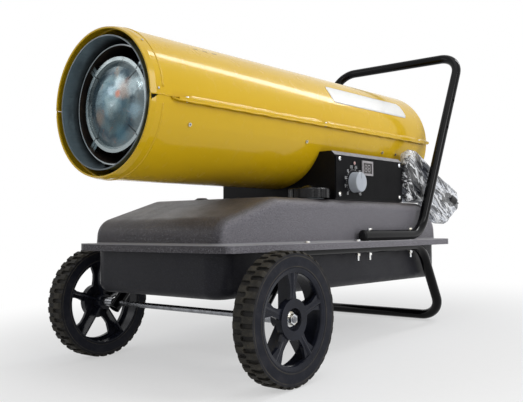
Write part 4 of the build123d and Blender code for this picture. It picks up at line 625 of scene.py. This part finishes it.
# Finishes by material slot, and from "baffle" on those of the nodes in SPECIAL.
FINISH = {
    "yellow": yellow_paint(),
    "black_paint": speckled_black("black_speckle"),
    "black_tube": gloss_black(),
    "zinc": zinc_plate(),
    "steel": shield_steel(),
    "hot_steel": oxidised_steel(),
    "wheel_plastic": moulded("wheel_plastic", (0.008, 0.009, 0.015), (0.016, 0.018, 0.028),
                             (0.17, 0.27), grain=700.0, gloss=0.16),
    "tyre_rubber": tyre_rubber(),
    "black_plastic": moulded("black_plastic", (0.005, 0.005, 0.006), (0.012, 0.012, 0.014),
                             (0.2, 0.32), grain=800.0, dust=0.2, gloss=0.22),
    "grey_plastic": moulded("grey_plastic", (0.42, 0.45, 0.50), (0.50, 0.53, 0.57), (0.28, 0.42),
                            dust=0.2, dust_colour=(0.25, 0.24, 0.23), relief=0.15),
    "silver_plastic": moulded("silver_plastic", (0.33, 0.31, 0.32), (0.42, 0.40, 0.41),
                              (0.22, 0.36), dust=0.2, dust_colour=(0.12, 0.115, 0.11), relief=0.12),
    "lamp": lamp_lens(),
    "brass": metal("brass", (0.72, 0.53, 0.22), (0.50, 0.34, 0.12), (0.22, 0.42)),
    "ceramic": moulded("ceramic", (0.80, 0.78, 0.72), (0.68, 0.65, 0.58), (0.12, 0.24), grain=300.0,
                       dust=0.4, dust_colour=(0.2, 0.16, 0.12), relief=0.05),
    "cast": metal("cast", (0.50, 0.51, 0.52), (0.34, 0.345, 0.35), (0.38, 0.58), relief=0.5),
    "motor": moulded("motor", (0.13, 0.14, 0.15), (0.18, 0.19, 0.20), (0.3, 0.45), grain=500.0,
                     dust=0.5),
    "iron": laminated_iron(),
    "board": green_board(),
    "foam": moulded("foam", (0.14, 0.14, 0.14), (0.24, 0.24, 0.23), (0.9, 1.0), grain=1400.0,
                    dust=0.5, relief=1.0),
    "seal": moulded("seal", (0.014, 0.014, 0.014), (0.026, 0.026, 0.026), (0.6, 0.75), grain=600.0),
    "cord": moulded("cord", (0.010, 0.010, 0.011), (0.020, 0.020, 0.021), (0.38, 0.52),
                    grain=700.0, dust=0.2),
    "hose": moulded("hose", (0.016, 0.016, 0.016), (0.03, 0.03, 0.03), (0.5, 0.65), grain=500.0),
    "lead": moulded("lead", (0.32, 0.035, 0.028), (0.42, 0.06, 0.045), (0.4, 0.55), grain=500.0),
    "gauze": gauze_wire(),
    "film": clear_film(),
    "label": plain_label(),
    "print": printed_white(),
    "glass": dark_glass(),
    "baffle": tempered_steel(),
    "panel": speckled_black("panel_black", (0.0025, 0.0025, 0.003), (0.02, 0.02, 0.024),
                            dusted=0.12, flecked=0.4, gloss=0.05),
    "pedestal": speckled_black("pedestal_black", (0.004, 0.004, 0.005), (0.03, 0.03, 0.033),
                               dusted=0.2, flecked=0.3, gloss=0.1, painted_light=painted_fold_highlight),
    # Painted light and shade: tank_top is a lighter copy of the tank's black paint for the lit
    # upper tank, tank_under a darker copy for the shaded lower tank.
    "tank_under": speckled_black("tank_under_black", (0.008, 0.008, 0.011), (0.12, 0.12, 0.14),
                                 dusted=0.3, flecked=0.32),
    "tank_top": speckled_black("tank_top_speckle", (0.034, 0.032, 0.036), (0.50, 0.48, 0.53),
                               dusted=0.36, flecked=0.7, dust_tint=(0.25, 0.215, 0.18),
                               painted_light=painted_tank_light),
    "rod": metal("rod_steel", (0.30, 0.31, 0.33), (0.12, 0.12, 0.13), (0.2, 0.38)),
}
SPECIAL = {"flame_baffle": "baffle", "control_panel": "panel", "pedestal": "pedestal",
           "rear_guard": "black_tube", "tank_upper": "tank_top", "tank_lower": "tank_under",
           "axle": "rod", "axle_spacers": "rod"}
SLOT_OF = {part["node"]: part["material_slot"] for part in frame["record"]["subparts"]}

for name, node in NODES.items():
    node.data.materials.clear()
    node.data.materials.append(FINISH[SPECIAL.get(name, SLOT_OF[name])])
cord.data.materials.append(FINISH["cord"])


# -------- shapes for added pieces
def piece(name, shapes, finish, smooth=False):
    """Shapes of level points as one mesh on the body, with the given finish."""
    verts, faces = [], []
    for some, more in shapes:
        faces += [[i + len(verts) for i in face] for face in more]
        verts += [tuple(at(*v)) for v in some]
    mesh = bpy.data.meshes.new(name)
    mesh.from_pydata(verts, [], faces)
    mesh.update()
    turned = bmesh.new()
    turned.from_mesh(mesh)
    bmesh.ops.recalc_face_normals(turned, faces=turned.faces)
    turned.to_mesh(mesh)
    turned.free()
    for face in mesh.polygons:
        face.use_smooth = smooth
    mesh.materials.append(FINISH[finish])
    made = placed(name, mesh)
    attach(made, "heater_body")
    return made


def skin(rings, count, closed=False):
    """Faces over rings of count vertices, with both ends closed unless the rings form a loop."""
    faces = []
    for i in range(rings if closed else rings - 1):
        a, b = i * count, (i + 1) % rings * count
        for k in range(count):
            after = (k + 1) % count
            faces.append([a + k, a + after, b + after, b + k])
    if not closed:
        faces += [list(range(count))[::-1], list(range((rings - 1) * count, rings * count))]
    return faces


def slab(outline, thickness, put):
    """A flat outline given some thickness; put(u, v, w) gives a point."""
    count = len(outline)
    verts = [put(u, v, 0.0) for u, v in outline] + [put(u, v, thickness) for u, v in outline]
    return verts, skin(2, count)


def sheet(columns, rows, layers, point):
    """A thin sheet: a grid of points in two layers, closed round its edge."""
    verts = [point(i, j, layer) for layer in layers
             for i in range(columns + 1) for j in range(rows + 1)]
    stride, upper = rows + 1, (columns + 1) * (rows + 1)
    faces = []
    for i in range(columns):
        for j in range(rows):
            a = i * stride + j
            faces.append([a, a + 1, a + stride + 1, a + stride])
            faces.append([upper + a, upper + a + stride, upper + a + stride + 1, upper + a + 1])
    ring = [i * stride for i in range(columns + 1)]
    ring += [columns * stride + j for j in range(1, rows + 1)]
    ring += [i * stride + rows for i in range(columns - 1, -1, -1)] + list(range(rows - 1, 0, -1))
    faces += [[a, b, upper + b, upper + a] for a, b in zip(ring, ring[1:] + ring[:1])]
    return verts, faces


def bead(path, radius, sides=10, closed=False):
    """A round bar along a path of level points."""
    verts = []
    points = [Vector(p) for p in path]
    for i, here in enumerate(points):
        after = points[(i + 1) % len(points)] if closed or i < len(points) - 1 else here
        before = points[i - 1] if closed or i > 0 else here
        along = (after - before).normalized()
        side = along.cross(Vector((0, 0, 1)))
        side = side.normalized() if side.length > 1e-3 else Vector((1, 0, 0))
        top = side.cross(along)
        for k in range(sides):
            a = 2 * pi * k / sides
            verts.append(tuple(here + side * radius * cos(a) + top * radius * sin(a)))
    return verts, skin(len(points), sides, closed)


def on_plane(centre, side, up, out, lift=1.0):
    """Puts the points of a slab on a plane through centre."""
    return lambda u, v, w: tuple(centre + side * u + up * v + out * (w * lift))


def on_panel(gap, lift=1.0):
    """Puts the points of a slab, given as Y, Z and height, on the control panel's face."""
    return lambda y, z, w: (PANEL_FACE + gap + w * lift, y, z)


def around(angle, radius):
    """X, Z and outward direction at an angle round the barrel."""
    a = radians(angle)
    return radius * cos(a), BARREL_Z + radius * sin(a), (cos(a), 0, sin(a))


# -------- labels and control panel
LABEL_ANGLES = (radians(24.5), radians(44.5))
LABEL_START, LABEL_END, LABEL_CORNER = 370.0, 722.0, 9.0
LABEL_COLUMNS, LABEL_ROWS = 48, 10
INK = 0.25
SEGMENTS = {"0": "abcdef", "1": "bc", "2": "abged", "3": "abgcd", "4": "fgbc", "5": "afgcd",
            "8": "abcdefg"}
STROKES = {"a": ((0, 2), (1, 2)), "b": ((1, 2), (1, 1)), "c": ((1, 1), (1, 0)),
           "d": ((0, 0), (1, 0)), "e": ((0, 1), (0, 0)), "f": ((0, 2), (0, 1)),
           "g": ((0, 1), (1, 1))}
DIAL_START = 225
TICKS, TICK_STEP, TICK_R = 28, 10, 28.6
LONG_TICK, SHORT_TICK = (31.8, 1.0), (30.4, 0.6)
NUMBERS, NUMBER_STEP, NUMBER_R = 10, 30, 37.0
NUMBER_SIZE, DIGIT_SIZE = (5.6, 0.9), (15.0, 1.6)
DISPLAY_Y, DISPLAY_Z = (426.7, 464.3), (420.7, 445.3)
DISPLAY_FACE, DISPLAY_CORNER = 0.5, (415, 414)


def barrel_label(name, side):
    """A blank label that lies on the barrel's curve, with rounded corners."""
    low, high = LABEL_ANGLES

    def point(i, j, layer):
        y = LABEL_START + (LABEL_END - LABEL_START) * i / LABEL_COLUMNS
        end = min(y - LABEL_START, LABEL_END - y)
        trim = 0.0
        if end < LABEL_CORNER:
            trim = LABEL_CORNER - sqrt(max(LABEL_CORNER ** 2 - (LABEL_CORNER - end) ** 2, 0))
        trim /= SHELL_R
        a = low + trim + (high - low - 2 * trim) * j / LABEL_ROWS
        r = SHELL_R + layer
        return side * r * cos(a), y, BARREL_Z + r * sin(a)

    label = sheet(LABEL_COLUMNS, LABEL_ROWS, (0.25, 0.75), point)
    piece(name, [label], "label", smooth=True)


def stroke(a, b, width, put):
    """A round-ended bar from a to b on a flat face."""
    angle = atan2(b[1] - a[1], b[0] - a[0])
    outline = []
    for end, start in ((b, -90), (a, 90)):
        for k in range(7):
            t = angle + radians(start + 30 * k)
            outline.append((end[0] + width / 2 * cos(t), end[1] + width / 2 * sin(t)))
    return slab(outline, INK, put)


def digits(text, centre, size, width, put):
    """Numbers drawn with bars."""
    shapes = []
    for i, digit in enumerate(text):
        left = centre[0] + (i - (len(text) - 1) / 2) * size * 0.95 - size * 0.3
        low = centre[1] - size / 2
        for bar in SEGMENTS[digit]:
            a, b = ((left + u * size * 0.6, low + v * size / 2) for u, v in STROKES[bar])
            shapes.append(stroke(a, b, width, put))
    return shapes


def dial_marks():
    """Ticks round the thermostat's knob, and plain numbers except where the display stands."""
    put, shapes = on_panel(0.05), []

    def spot(angle, radius):
        return KNOB_Y + radius * cos(angle), KNOB_Z + radius * sin(angle)

    for i in range(TICKS):
        a = radians(DIAL_START - TICK_STEP * i)
        outer, width = SHORT_TICK if i % 3 else LONG_TICK
        shapes.append(stroke(spot(a, TICK_R), spot(a, outer), width, put))
    for i in range(NUMBERS):
        y, z = spot(radians(DIAL_START - NUMBER_STEP * i), NUMBER_R)
        if y > DISPLAY_CORNER[0] and z > DISPLAY_CORNER[1]:
            continue
        shapes += digits(str(5 * i), (y, z), *NUMBER_SIZE, put)
    piece("dial_marks", shapes, "print")


def display_window():
    """The dark window of the display, with two unlit digits."""
    (y0, y1), (z0, z1) = DISPLAY_Y, DISPLAY_Z
    window = slab([(y0, z0), (y1, z0), (y1, z1), (y0, z1)], 0.7, on_panel(DISPLAY_FACE + 0.05))
    piece("display_window", [window], "glass")
    bars = digits("88", (sum(DISPLAY_Y) / 2, sum(DISPLAY_Z) / 2), *DIGIT_SIZE,
                  on_panel(DISPLAY_FACE + 0.78, 0.6))
    piece("display_digits", bars, "silver_plastic")


def painted_screw_cross_shade():
    """Painted shade: black crosses on the heads of the screws in the barrel and the panel stand in
    for their shadowed recesses.
    """
    heads = []
    for angle in (-18, 198):
        x, z, out = around(angle, SHELL_R + 0.3 + SCREW_HEAD)
        heads += [((x, y, z), out, (0, 1, 0)) for y in SHELL_SCREWS]
    for y in FLANGE_SCREWS:
        for x in (SHELL_R + FLANGE_SCREW_OUT, -SHELL_R - FLANGE_SCREW_OUT):
            heads.append(((x, y, SEAM_Z + SCREW_HEAD), (0, 0, 1), (0, 1, 0)))
    x = PANEL_FACE + PANEL_SCREW_OUT
    heads += [((x, y, z), (1, 0, 0), (0, 0.5, 0.8)) for y, z in PANEL_SCREWS]
    shapes = []
    half, wide = SCREW_CROSS
    corner = [(-wide, -half), (wide, -half), (wide, -wide)]
    outline = corner + [(-v, u) for u, v in corner] + [(-u, -v) for u, v in corner]
    outline += [(v, -u) for u, v in corner]
    for centre, out, up in heads:
        out, up = Vector(out).normalized(), Vector(up).normalized()
        put = on_plane(Vector(centre), out.cross(up), up, out, 0.6)
        shapes.append(slab(outline, INK, put))
    piece("painted_screw_cross_shade", shapes, "black_plastic")


def screw_domes():
    """Broad domed heads over the panel's screws."""
    shapes, rings, count = [], 5, 20
    for y, z in PANEL_SCREWS:
        verts = []
        for i in range(rings + 1):
            t = radians(90 * i / rings)
            r, out = 5.4 * cos(t) + 0.02, 0.3 + 3.6 * sin(t)
            for k in range(count):
                a = 2 * pi * k / count
                verts.append((PANEL_FACE + out, y + r * cos(a), z + r * sin(a)))
        shapes.append((verts, skin(rings + 1, count)))
    piece("screw_domes", shapes, "zinc", smooth=True)


barrel_label("label_right", 1)
barrel_label("label_left", -1)
dial_marks()
display_window()
painted_screw_cross_shade()
screw_domes()

# -------- edges and seams of the barrel
HEM_Y, HEM_R = -207.8, 139.9
SWAGE_Y, SWAGE_R = -182.0, 2.6
SLOT_ANGLE, SLOT_PLACES = radians(54.4), (-42.0, -15.0, 12.0)
RIVET_Y, RIVET_ANGLES = -193.0, (4.4, 46.0, 175.6, 134.0)
NOTCH_ANGLE, NOTCH_STEP = 180.45, 1.35


def edge_hems():
    """Rolled edges: round the outlet, and under the lips of the seam's flanges."""
    ring = [(x, HEM_Y, z) for x, z, _ in (around(3 * i, HEM_R) for i in range(120))]
    shapes = [bead(ring, 1.7, closed=True)]
    for side in (1, -1):
        lip = [(side * 151.9, -150 + 8 * i, BARREL_Z - 5.3 + 0.5 * sin(i * 0.9))
               for i in range(120)]
        shapes.append(bead([(side * 146.5, -163, BARREL_Z - 1.2)] + lip, 1.6))
    piece("edge_hems", shapes, "yellow", smooth=True)


def seam_flares():
    """The upper shell's sheet curls out into its side flanges, and draws back round the screws."""
    shapes, steps, count = [], 8, 170
    for side in (1, -1):
        verts = []
        for i in range(count + 1):
            y = FLANGE_START + (FLANGE_END - FLANGE_START) * i / count
            near = min(abs(y - screw) for screw in FLANGE_SCREWS)
            full = min(1.0, max(0.0, (near - 4.5) / 9.0))
            full *= min(1.0, 0.15 + (y - FLANGE_START) / 30)
            full = full * full * (3 - 2 * full)
            rise = 0.9 + (7.8 + 0.5 * sin(y / 37.0) + 0.4 * sin(y / 13.0)) * full
            for k in range(steps + 1):
                t = k / steps
                z = SEAM_Z + rise * (1 - t)
                wall = sqrt(SHELL_R ** 2 - (z - BARREL_Z) ** 2)
                curl = (SHELL_R + 0.5 + 7.8 * full - wall) * t ** 2.1
                verts.append((side * (wall + 0.05 + curl), y, z))
            verts.append((side * (SHELL_R - 0.6), y, SEAM_Z))
        shapes.append((verts, skin(count + 1, steps + 2)))
    piece("seam_flares", shapes, "yellow")


def seam_lines():
    """The upper shell's edge over the lower one, from the outlet to the flanges."""
    shapes = []
    for side in (1, -1):
        path = [(-3.0, OUTLET_Y), (-0.1, -197)]
        path += [(0.2, -190 + 6 * i) for i in range(5)] + [(3, -156)]
        shapes.append(bead([(side * (SHELL_R + out), y, BARREL_Z + 0.6) for out, y in path], 1.1))
    piece("seam_lines", shapes, "yellow", smooth=True)


def slot_shades():
    """Painted shade: black plates set in the three slots near the outlet stand in for their
    shadowed insides.
    """
    out = Vector((cos(SLOT_ANGLE), 0, sin(SLOT_ANGLE)))
    up = Vector((-sin(SLOT_ANGLE), 0, cos(SLOT_ANGLE)))
    outline = [(-7, -1.5), (7, -1.5), (7, 1.5), (-7, 1.5)]
    shapes = []
    for y in SLOT_PLACES:
        centre = Vector((0, y, BARREL_Z)) + out * (SHELL_R - 0.8)
        shapes.append(slab(outline, 0.7, on_plane(centre, Vector((0, 1, 0)), up, out)))
    piece("slot_shades", shapes, "black_plastic")


def swages():
    """A low pressed ring behind the outlet's edge, broken at the seams."""
    shapes, count, radius = [], 64, SHELL_R - 1.3
    for first, last in ((6.0, 174.0), (186.0, 354.0)):
        path = []
        for i in range(count + 1):
            x, z, _ = around(first + (last - first) * i / count, radius)
            path.append((x, SWAGE_Y, z))
        shapes.append(bead(path, SWAGE_R))
    piece("swages", shapes, "yellow", smooth=True)


def rim_rivets():
    """Bright flat rivet heads behind the outlet's edge, narrowing towards the sheet."""
    shapes, rings, count = [], 4, 12
    along = Vector((0, 1, 0))
    for angle in RIVET_ANGLES:
        x, z, out = around(angle, SHELL_R - 0.2)
        out = Vector(out)
        across = out.cross(along)
        verts = []
        for ring in range(rings):
            t = radians(90 - 30 * ring)
            r = max(2.3 * sin(t), 0.02)
            for k in range(count):
                a = 2 * pi * k / count
                verts.append(tuple(Vector((x, RIVET_Y, z)) + out * 1.5 * sin(t)
                                   + (along * cos(a) + across * sin(a)) * r))
        shapes.append((verts, skin(rings, count)[:-1]))
    piece("rim_rivets", shapes, "zinc", smooth=True)


def seam_patch():
    """Closes the left side's notch to a thin seam."""
    def point(i, j, layer):
        y = OUTLET_Y + 5 * i
        r = SHELL_R - max(0.0, 1 - (y + 209) / 8) * 4 + layer
        x, z, _ = around(NOTCH_ANGLE + NOTCH_STEP * j, r)
        return x, y, z

    piece("seam_patch", [sheet(4, 4, (-0.9, -0.1), point)], "yellow", smooth=True)


edge_hems()
seam_flares()
seam_lines()
slot_shades()
swages()
rim_rivets()
seam_patch()

# -------- clear bag
BAG_OUTLINE = [(620, 355), (621, 440), (633, 488), (650, 496), (668, 497), (720, 474), (770, 451),
               (820, 431), (870, 414), (925, 394), (926, 343), (888, 322), (850, 299), (800, 300),
               (777, 303), (745, 330), (716, 355)]
BAG_CENTRE = Vector((775, 400))
BAG_SIDES = ((1, 18.2), (-1, 18.0))
BAG_BOTTOM = 356
BAG_Y, BAG_Z = (620.0, 930), (298.0, 500)
MOUTH_START, MOUTH_Z = 919, (349, 389)
HOLE_Y, HOLE_Z = (690, 722), (357, 386)
SPACING, JITTER = 5.0, 1.2
LEAST_SWELL, MOST_SWELL = 8.6, 20.0


def edge_distance(y, z, outline):
    least = 1e9
    for (ay, az), (by, bz) in zip(outline, outline[1:] + outline[:1]):
        dy, dz = by - ay, bz - az
        t = max(0.0, min(1.0, ((y - ay) * dy + (z - az) * dz) / (dy * dy + dz * dz)))
        least = min(least, hypot(y - ay - t * dy, z - az - t * dz))
    return least


def inside(y, z, outline):
    found = False
    for (ay, az), (by, bz) in zip(outline, outline[1:] + outline[:1]):
        if (az > z) != (bz > z) and y < (by - ay) * (z - az) / (bz - az) + ay:
            found = not found
    return found


def bag_ring():
    """The bag's outline, drawn in a little between its corners except where it lies on the tank."""
    ring = []
    for a, b in zip(BAG_OUTLINE, BAG_OUTLINE[1:] + BAG_OUTLINE[:1]):
        a, b = Vector(a), Vector(b)
        parts = max(2, int((b - a).length / SPACING))
        for k in range(parts):
            here = a.lerp(b, k / parts)
            pull = 1.0
            if here.y >= BAG_BOTTOM:
                pull += 1.6 * noise.noise(Vector((here.x / 9, here.y / 9, 2.0)))
                pull += 1.2 * abs(sin(pi * k / parts))
            here = here + (BAG_CENTRE - here).normalized() * pull
            ring.append((here.x, here.y))
    return ring


def crumple(y, z, side):
    """Folds that run down the bag from its gathered top, with smaller creases across them."""
    along = (y - 640) * 0.80 - (z - 480) * 0.60
    across = (y - 640) * 0.60 + (z - 480) * 0.80
    fan = across / (1.0 + max(along, 0) / 160.0)
    ridged = noise.ridged_multi_fractal
    folds = ridged(Vector((along / 120, fan / 24, side * 3.1)), 0.9, 2.0, 3, 1.0, 2.0)
    creases = ridged(Vector((y / 30, z / 30, side * 7.7)), 0.9, 2.1, 2, 1.0, 2.0)
    return (folds - 1.2) * 4.2 + (creases - 1.2) * 1.6


def open_to(centre, side):
    """The mouth at the rear end, and the hole in the inner face where the cord comes in."""
    y, z = centre
    if y > MOUTH_START and MOUTH_Z[0] < z < MOUTH_Z[1]:
        return True
    return side < 0 and HOLE_Y[0] < y < HOLE_Y[1] and HOLE_Z[0] < z < HOLE_Z[1]


def cord_bag():
    """A crumpled pouch of clear film round the hank and the plug, open at its rear end."""
    random.seed(7)
    ring = bag_ring()
    coords = [Vector(p) for p in ring]
    row_z, row = BAG_Z[0], 0
    while row_z < BAG_Z[1]:
        y = BAG_Y[0] + (SPACING / 2 if row % 2 else 0)
        while y < BAG_Y[1]:
            jy, jz = (c + random.uniform(-JITTER, JITTER) for c in (y, row_z))
            if inside(jy, jz, ring) and edge_distance(jy, jz, ring) > 3.0:
                coords.append(Vector((jy, jz)))
            y += SPACING
        row_z += SPACING * 0.87
        row += 1
    edges = [(i, (i + 1) % len(ring)) for i in range(len(ring))]
    flat, _, triangles, *_ = delaunay_2d_cdt(coords, edges, [], 1, 1e-4)
    verts, faces = [], []
    rim = {}
    for side, depth in BAG_SIDES:
        index = {}
        for i, p in enumerate(flat):
            d = edge_distance(p.x, p.y, ring)
            if d < 0.4 and i in rim:
                index[i] = rim[i]
                continue
            swell = sqrt(max(0.0, 1 - (1 - min(d, 13.0) / 13.0) ** 2))
            tail = 1.0 - 0.22 * max(0.0, min(1.0, (p.x - 745) / 150))
            x = depth * swell * tail + crumple(p.x, p.y, side) * min(1.0, d / 9.0)
            x = min(max(x, LEAST_SWELL * min(1.0, d / 5.0)), MOST_SWELL)
            index[i] = len(verts)
            if d < 0.4:
                rim[i] = index[i]
            verts.append((BAG_MIDDLE + side * x, p.x, p.y))
        for corners in triangles:
            centre = sum((flat[i] for i in corners), Vector((0, 0))) / len(corners)
            if not open_to(centre, side):
                faces.append([index[i] for i in (corners if side > 0 else reversed(corners))])
    bag = piece("bag_film", [(verts, faces)], "film", smooth=True)
    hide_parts("cord_bag")


cord_bag()

# -------- floor and light
FLOOR_HALF, FLOOR_Z = 12, -0.0005
# Name, place, size, power and the point it looks at.
LIGHTS = (
    ("key", (0.7, -0.2, 2.6), (1.6, 2.6), 12.0, (0, 0, 0.4)),
    ("left", (-1.9, -1.6, 1.5), (1.0, 1.0), 5.0, (0, 0, 0.4)),
    ("right", (2.4, 0.3, 1.4), (0.6, 2.0), 24.0, (0, 0, 0.4)),
    ("band_back", (0.62, 2.0, 2.4), (0.32, 1.5), 15.0, (0.13, 0.28, 0.6)),
    ("strip_side", (2.1, -1.2, 1.1), (0.16, 2.0), 5.0, (0.1, 0.3, 0.4)),
    ("strip_front", (0.2, -2.3, 1.6), (1.3, 0.04), 4.0, (0, -0.3, 0.3)))


def floor_material():
    """Pale floor that keeps the shadow near the object and fades to white further out."""
    mat = bpy.data.materials.new("stage_floor")
    mat.use_nodes = True
    mat.node_tree.nodes.clear()
    n = Nodes(mat.node_tree)
    place = n.add("TexCoord")["Object"]
    amount = n.times(n.backdrop_rays(), n.step(n.length(place), 0.45, 1.25, 0.5, 1.0))
    grain = n.add("TexNoise", {"Vector": place, "Scale": 60.0, "Detail": 4.0})[0]
    tone = n.mix(grain, (0.84, 0.84, 0.84), (0.80, 0.80, 0.80))
    matte = n.add("BsdfDiffuse", {0: tone})[0]
    white = n.add("Emission", {0: (1, 1, 1), 1: 1.0})[0]
    both = n.add("MixShader", {0: amount, 1: matte, 2: white})[0]
    n.add("OutputMaterial", {0: both})
    return mat


def make_floor():
    half, z = FLOOR_HALF, FLOOR_Z
    mesh = bpy.data.meshes.new("floor")
    mesh.from_pydata([(-half, -half, z), (half, -half, z), (half, half, z), (-half, half, z)], [],
                     [[0, 1, 2, 3]])
    mesh.materials.append(floor_material())
    placed("floor", mesh)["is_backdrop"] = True


def make_world():
    """Soft grey light on the object, with white behind it and in its reflections."""
    world = bpy.data.worlds.new("studio")
    scene.world = world
    world.use_nodes = True
    world.node_tree.nodes.clear()
    n = Nodes(world.node_tree)
    light = n.add("Background", {0: (0.93, 0.96, 1.0), 1: 0.3})[0]
    white = n.add("Background", {0: (1, 1, 1), 1: 1.0})[0]
    both = n.add("MixShader", {0: n.backdrop_rays(), 1: light, 2: white})[0]
    n.add("OutputWorld", {0: both})


def soft_box(name, place, size, power, aim):
    data = bpy.data.lights.new(name, "AREA")
    data.shape = "RECTANGLE"
    data.size, data.size_y = size
    data.energy = power
    lamp = placed(name, data)
    lamp.location = place
    lamp.rotation_mode = "QUATERNION"
    lamp.rotation_quaternion = (Vector(aim) - Vector(place)).to_track_quat("-Z", "Y")


make_floor()
make_world()
for light in LIGHTS:
    soft_box(*light)
scene.view_settings.view_transform = "Standard"


def shown_box():
    """A curve's box takes a point's radius as metres, so the cord gets its own."""
    points = cord.data.splines[0].points
    for point in points:
        point.radius = CORD_RADIUS
    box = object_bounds()
    for point in points:
        point.radius = 1.0
    return box


{"cad": [list(c) for c in cad_box], "visual": [list(c) for c in shown_box()]}
